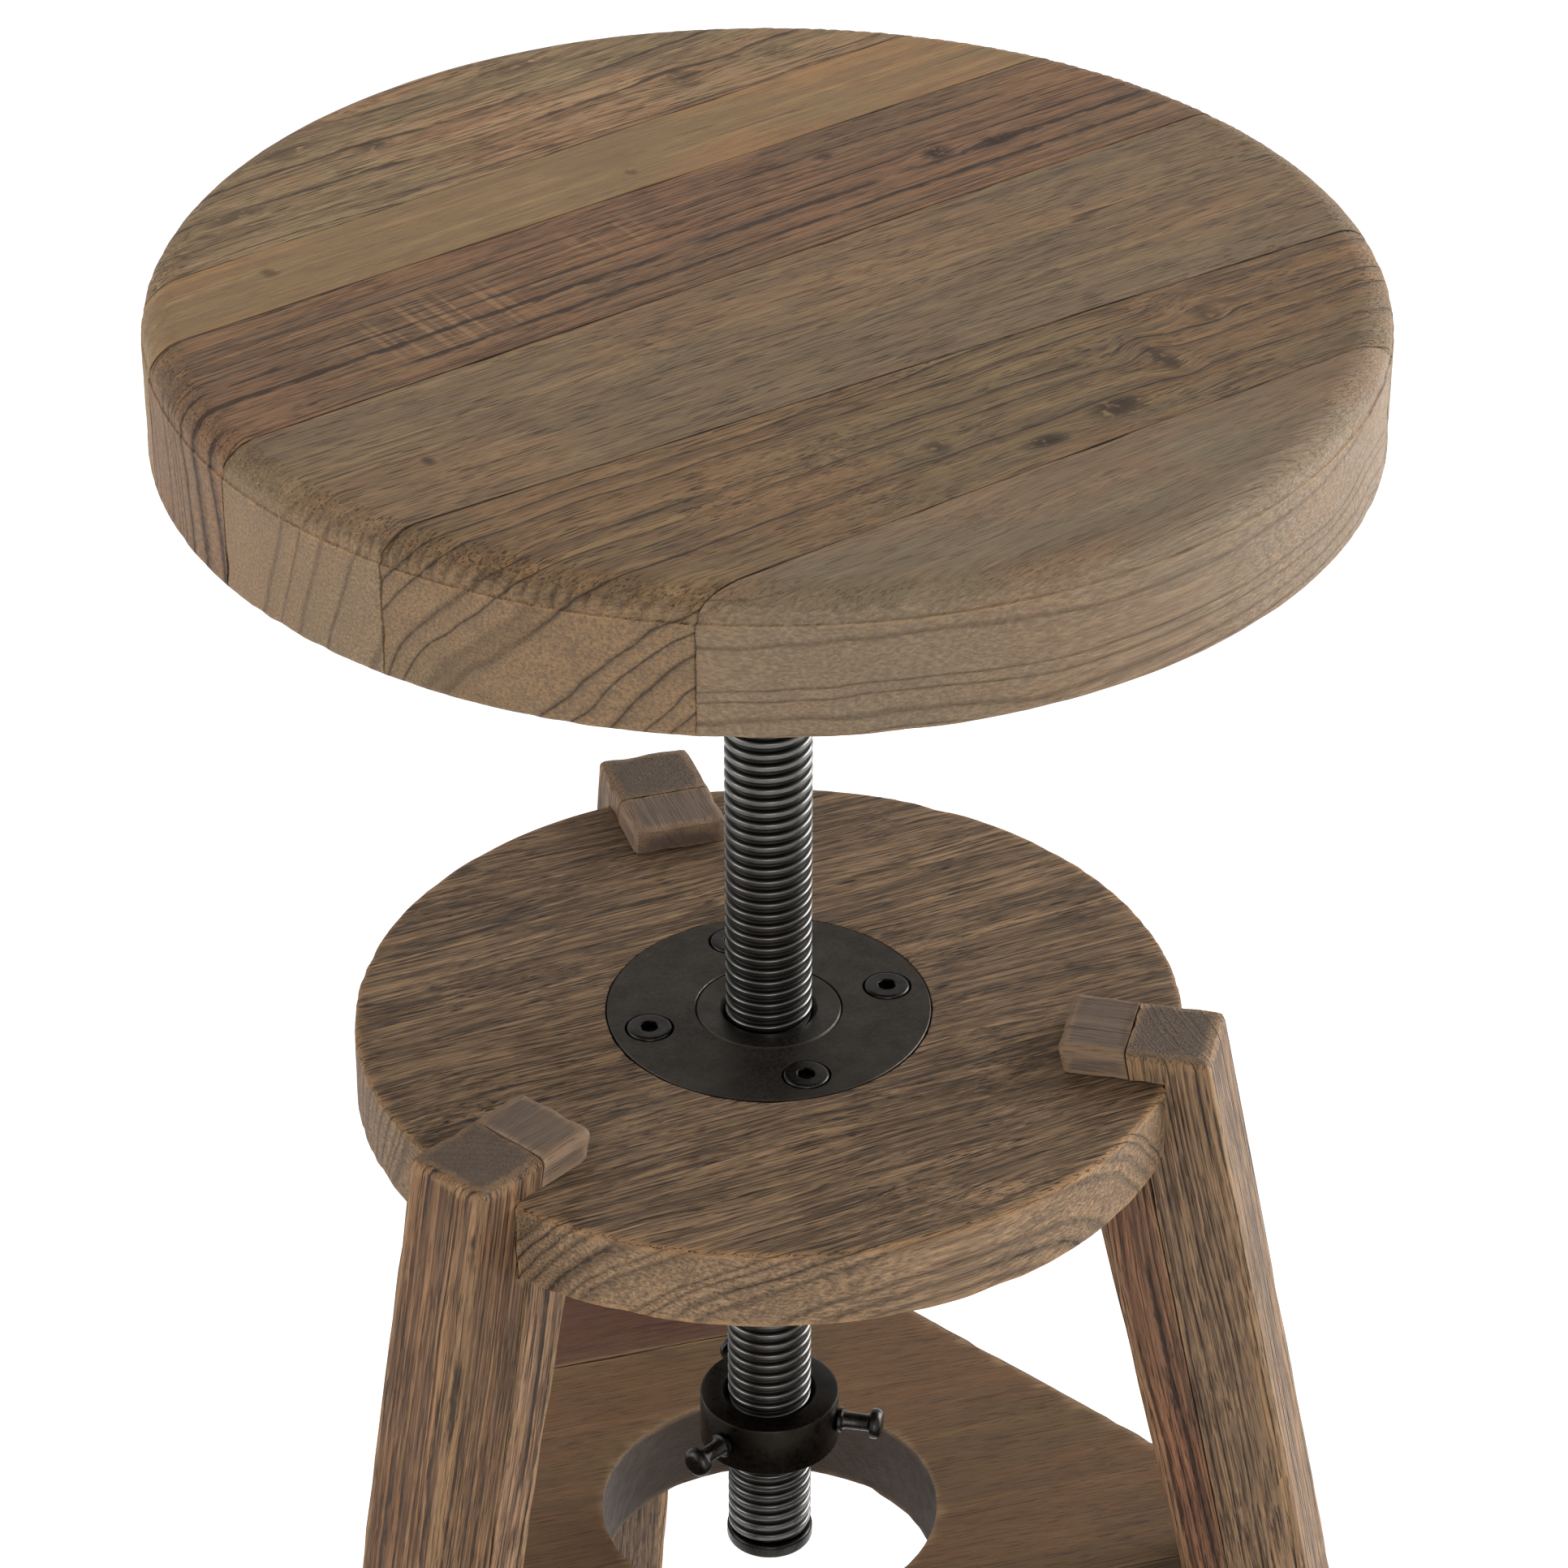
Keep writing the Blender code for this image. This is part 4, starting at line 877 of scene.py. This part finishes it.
def thread_steel():
    """Rolled steel thread under oil: crests rubbed bright, roots dull and painted dark, a painted shade."""
    made, node, link, shader = new_material("rolled_steel_thread")
    spot = node("TexCoord", out="Object")
    off = node("VectorMath.SUBTRACT", spot, AXIS)
    flat = node("VectorMath.MULTIPLY", off, (1, 1, 0))
    radius = node("VectorMath.LENGTH", flat, out="Value")
    crest = radius_of("height_screw")
    # Painted shade: the colour darkens from the crests down into the roots of the thread.
    part = node("MapRange.SMOOTHSTEP", radius, crest - 0.9 * MM, crest - 0.1 * MM)
    grime = node("TexNoise", {"Vector": spot, "Scale": 260.0, "Detail": 4.0})
    rubbed = node("Math.MULTIPLY_ADD", grime, 0.5, 0.6)
    part = node("Math.MULTIPLY", part, rubbed)
    shade = node("Mix.RGBA", {0: part, 6: linear("262625"), 7: linear("6a6967")}, out=2)
    dull = node("MapRange", part, 0.0, 1.0, 0.42, 0.26)
    coat(node, link, shader, shade, dull, node("Math.MULTIPLY", grime, 0.04))
    shader["Metallic"].default_value = 1.0
    return made


def ring_mesh(around, bm, finish, centre, count, radius=0.0, start=0.0, loose=0.0, seed=1):
    """Copies of this bmesh in a ring about a centre."""
    return grown(around, {
        "Count": count, "Radius": radius, "Start": start, "Loose turn": loose, "Seed": seed,
        "Centre": centre, "Finish": finish,
    }, mesh_from(bm, "unit"))


def build_bolts(around, black, zinc):
    """The flange's socket screws and, under the disc, their tee nuts."""
    low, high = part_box("flange_bolt_1")
    head, depth, shank = radius_of("flange_bolt_1"), 3.4 * MM, 3.0 * MM
    profile = [(0, 0), (head - 1.3 * MM, 0)] + arc((head - 1.0 * MM, -1.0 * MM), 1.0 * MM, 80, 0, 5)
    profile += [(head, -depth + 0.3 * MM), (head - 0.3 * MM, -depth), (shank, -depth)]
    while profile[-1][1] > low.z - high.z + 1.5 * MM:
        here = profile[-1][1]
        profile += [
            (shank, here - 0.3 * MM), (shank - 0.45 * MM, here - 0.6 * MM), (shank, here - 1.0 * MM)
        ]
    profile += [(shank - 0.8 * MM, low.z - high.z), (0, low.z - high.z)]
    flats = 5.0 * MM
    socket = turned([
        (0, 0.002), (flats / sqrt(3), 0.002), (flats / sqrt(3), -2.3 * MM), (0, -3.2 * MM),
    ], 6, ORIGIN)
    lip = turned([(0, 0.0005), (flats / sqrt(3) + 0.9 * MM, 0.0005), (0, -0.0019)], 48, ORIGIN)
    unit = drilled(turned(profile, 64, ORIGIN), socket, lip)
    reach = (middle("flange_bolt_1") - AXIS).xy.length
    bolts = ring_mesh(around, unit, black, AXIS + Vector((0, 0, high.z)), 4, reach, 0, 1.0, 5)
    names = numbered("flange_bolt", 4)
    piece("flange_socket_screws", bolts, black, "frame", *names)

    low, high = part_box("tee_nut_1")
    top = -(high.z - low.z) + 1.5 * MM
    flange = radius_of("tee_nut_1")
    unit = turned(eased([
        (3.2 * MM, 0), (5.0 * MM, 0), (5.0 * MM, top), (flange, top), (flange, top - 1.5 * MM),
        (3.2 * MM, top - 1.5 * MM),
    ], 0.3 * MM), 40, ORIGIN)
    nuts = ring_mesh(around, unit, zinc, AXIS + Vector((0, 0, high.z)), 4, reach)
    names = numbered("tee_nut", 4)
    piece("tee_nuts", nuts, zinc, "frame", *names)


def build_collar(around, iron, black):
    """The lock collar, its top's edge bevelled, and the handles in it."""
    low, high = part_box("lock_collar")
    outer, bore = radius_of("lock_collar"), radius_of("height_screw") + BORE_ROOM
    profile = [
        (bore, high.z - 1.4 * MM), (bore + 1.3 * MM, high.z), (outer - 1.0 * MM, high.z),
        (outer - 0.25 * MM, high.z - 0.35 * MM), (outer, high.z - 1.0 * MM),
        (outer, low.z + 0.9 * MM), (outer - 0.9 * MM, low.z), (bore + 1.2 * MM, low.z),
        (bore, low.z + 1.2 * MM),
    ]
    piece("lock_collar_fine", turned(profile, 128), iron, "collar", "lock_collar")
    spot = middle("collar_handle_1") - AXIS
    start = atan2(spot.y, spot.x)
    end = outer + 0.3 * MM
    tip = 36.2 * MM
    profile = [(0, tip)] + arc((2.6 * MM, tip - 2.3 * MM), 2.3 * MM, 84, 10, 6)
    profile += [(4.9 * MM, tip - 2.6 * MM), (4.7 * MM, tip - 3.4 * MM), (3.4 * MM, tip - 3.8 * MM)]
    profile += arc((3.5 * MM, tip - 4.6 * MM), 0.8 * MM, 100, 180, 3)
    profile += [
        (2.7 * MM, end + 2.4 * MM), (3.1 * MM, end + 1.6 * MM), (4.0 * MM, end + 1.3 * MM),
        (4.0 * MM, end + 0.3 * MM),
    ]
    profile += [(3.7 * MM, end), (0, end)]
    unit = turned(profile, 48, ORIGIN)
    bmesh.ops.rotate(unit, cent=(0, 0, 0), matrix=Matrix.Rotation(pi / 2, 3, "Y"), verts=unit.verts)
    names = numbered("collar_handle", 3)
    centre = AXIS + Vector((0, 0, (low.z + high.z) / 2))
    handles = ring_mesh(around, unit, black, centre, 3, 0.0, start)
    piece("collar_handles_fine", handles, black, "collar_handles", *names)


def build_end_stop(black):
    low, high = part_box("end_stop_washer")
    outer = radius_of("end_stop_washer")
    profile = [(3.3 * MM, high.z), (outer - 1.0 * MM, high.z)]
    profile += arc((outer - 1.0 * MM, high.z - 1.0 * MM), 1.0 * MM, 80, 0, 4)
    profile += arc((outer - 1.2 * MM, low.z + 1.2 * MM), 1.2 * MM, 0, -90, 4)
    profile += [(6.1 * MM, low.z), (3.3 * MM, low.z + 2.8 * MM)]
    piece("end_stop_fine", turned(profile, 96), black, "end_stop", "end_stop_washer")
    low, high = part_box("end_stop_bolt")
    profile = [
        (0, high.z), (3 * MM, high.z), (3 * MM, low.z + 2.8 * MM), (5.8 * MM, low.z + 0.1 * MM),
        (5.6 * MM, low.z), (0, low.z),
    ]
    socket = turned(
        [
            (0, low.z + 2.4 * MM), (2.3 * MM, low.z + 2.0 * MM), (2.3 * MM, low.z - 0.002),
            (0, low.z - 0.002),
        ],
        6,
    )
    piece("end_stop_screw", drilled(turned(profile, 48), socket), black, "seat", "end_stop_bolt")


def build_plate(around, iron, zinc):
    """The plate under the seat, its boss, and the screws that hold it."""
    low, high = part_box("seat_mounting_plate")
    outer, bore = radius_of("seat_mounting_plate"), radius_of("height_screw") + BORE_ROOM
    boss, thick = 19 * MM, 5 * MM
    under = high.z - thick
    weld = 2.2 * MM
    profile = [
        (bore, high.z), (outer - 0.5 * MM, high.z), (outer, high.z - 0.5 * MM), (outer, under + 1.0 * MM)
    ]
    profile += [(outer - 1.0 * MM, under), (boss + weld, under), (boss + 0.4 * weld, under - 0.4 * weld)]
    profile += [(boss, under - weld), (boss, low.z + 1.0 * MM), (boss - 1.0 * MM, low.z), (bore, low.z)]
    tools = []
    for screw in numbered("plate_screw", 4):
        spot = middle(screw).xy.to_3d()
        tools.append(turned([
            (0, high.z + 0.01), (2.7 * MM, high.z + 0.01), (2.7 * MM, under + 2.4 * MM), (5.1 * MM, under),
            (5.1 * MM, under - 0.01), (0, under - 0.01),
        ], 40, spot))
    plate = drilled(turned(profile, 128), *tools)
    piece("seat_plate_fine", plate, iron, "seat", "seat_mounting_plate")

    low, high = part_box("plate_screw_1")
    length, head, shank = high.z - low.z, radius_of("plate_screw_1"), 2.4 * MM
    profile = [(0, length), (0.8 * MM, length - 0.5 * MM)]
    height = length - 3.5 * MM
    while height > 6 * MM:
        profile += [
            (shank - 0.7 * MM, height + 1.1 * MM), (shank, height + 0.7 * MM),
            (shank - 0.7 * MM, height + 0.2 * MM),
        ]
        height -= 2.0 * MM
    profile += [
        (shank - 0.4 * MM, height), (shank - 0.2 * MM, 2.6 * MM), (head, 0.25 * MM), (head - 0.2 * MM, 0),
        (0, 0),
    ]
    cross = [
        block((-a, -b, -0.01), (a, b, 1.6 * MM), 0.0, ORIGIN)
        for a, b in ((2.6 * MM, 0.5 * MM), (0.5 * MM, 2.6 * MM))
    ]
    unit = drilled(turned(profile, 40, ORIGIN), *cross)
    spot = middle("plate_screw_1") - AXIS
    screws = ring_mesh(
        around, unit, zinc, AXIS + Vector((0, 0, low.z)), 4, spot.xy.length, atan2(spot.y, spot.x), 1.5, 3
    )
    names = numbered("plate_screw", 4)
    piece("plate_wood_screws", screws, zinc, "seat", *names)


def build_small():
    """Glides, and a plain finish for the dowels, which only show if the stool is taken apart."""
    # Moulded nylon: black, with a fine dull grain from its mould.
    nylon, node, link, shader = new_material("moulded_black_nylon")
    spot = node("TexCoord", out="Object")
    spark = node("TexNoise", {"Vector": spot, "Scale": 900.0, "Detail": 2.0})
    bump = node("Bump", {"Height": spark, "Distance": 0.03 * MM, "Strength": 1.0})
    link(bump, shader["Normal"])
    shader["Base Color"].default_value = linear("1d1d1e")
    shader["Roughness"].default_value = 0.55
    for glide in numbered("foot_glide", 3):
        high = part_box(glide)[1]
        outer, pad = radius_of(glide), 5 * MM
        profile = [(0, high.z), (1.4 * MM, high.z - 2 * MM), (1.4 * MM, pad), (outer - 0.5 * MM, pad)]
        profile += [(outer, pad - 0.5 * MM)] + arc(
            (outer - 1.6 * MM, 1.6 * MM), 1.6 * MM, 0, -90, 5
        ) + [(0, 0)]
        bm = turned(profile, 64, middle(glide).xy.to_3d())
        piece(f"{glide}_fine", bm, nylon, "frame", glide)

    # Turned beech: pale, even and close in its grain.
    turn = board_frame((1, 0, 0), (0, 0, 1))
    beech = wood(
        "turned_beech_dowel", turn, (
            "6b5136", "9a7a55", "c2a07a", "b8946c", "d2b48e"
        ), 51, rings=(2.0, 20, -30),
        warp=1, late=0.3, fibre=0.3, pores=0.3, crack=0, streak=0.3, relief=0.4, worn="d2b48e",
    )
    for dowel in numbered("disc_dowel", 3) + numbered("shelf_dowel", 3):
        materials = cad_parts[dowel].data.materials
        materials.clear()
        materials.append(beech)


# ---------------------------------------------------------------- floor, light and camera
def build_stage():
    bm = bmesh.new()
    bmesh.ops.create_grid(bm, x_segments=1, y_segments=1, size=12)
    floor = in_scene("floor", mesh_from(bm, "floor"))
    # White background paper: matt, and lit enough from all round to look nearly white.
    paper, _, _, shader = new_material("white_paper_sweep")
    shader["Base Color"].default_value = linear("f4f4f3")
    shader["Roughness"].default_value = 0.9
    shader["Emission Color"].default_value = linear("ffffff")
    shader["Emission Strength"].default_value = 0.18
    floor.data.materials.append(paper)

    world = bpy.data.worlds.new("studio")
    world.use_nodes = True
    sky = world.node_tree.nodes["Background"]
    sky.inputs["Color"].default_value = linear("ffffff")
    sky.inputs["Strength"].default_value = 0.73
    bpy.context.scene.world = world

    for name, spot, size, power in (
        ("softbox_right", (2.4, 0.2, 1.0), 1.6, 86),
        ("softbox_left", (-2.4, 0.4, 0.95), 1.6, 26),
        ("softbox_front", (-0.7, -3.0, 0.85), 1.4, 24),
    ):
        light = bpy.data.lights.new(name, "AREA")
        light.size = size
        light.energy = power
        holder = in_scene(name, light)
        holder.location = spot
        aim = Vector((0, 0, 0.5)) - Vector(spot)
        holder.rotation_euler = aim.to_track_quat("-Z", "Y").to_euler()

    camera = bpy.data.cameras.new("camera")
    camera.sensor_width = 36
    camera.lens = 134.38
    holder = in_scene("camera", camera)
    holder.location = AXIS + Vector((-0.4313, -1.3933, 1.4471))
    holder.rotation_euler = Euler((radians(90 - 32.18), 0, radians(-17.38)))
    bpy.context.scene.camera = holder
    bpy.context.scene.view_settings.view_transform = "Standard"


build_stage()
build_wood()
build_metal()
build_small()
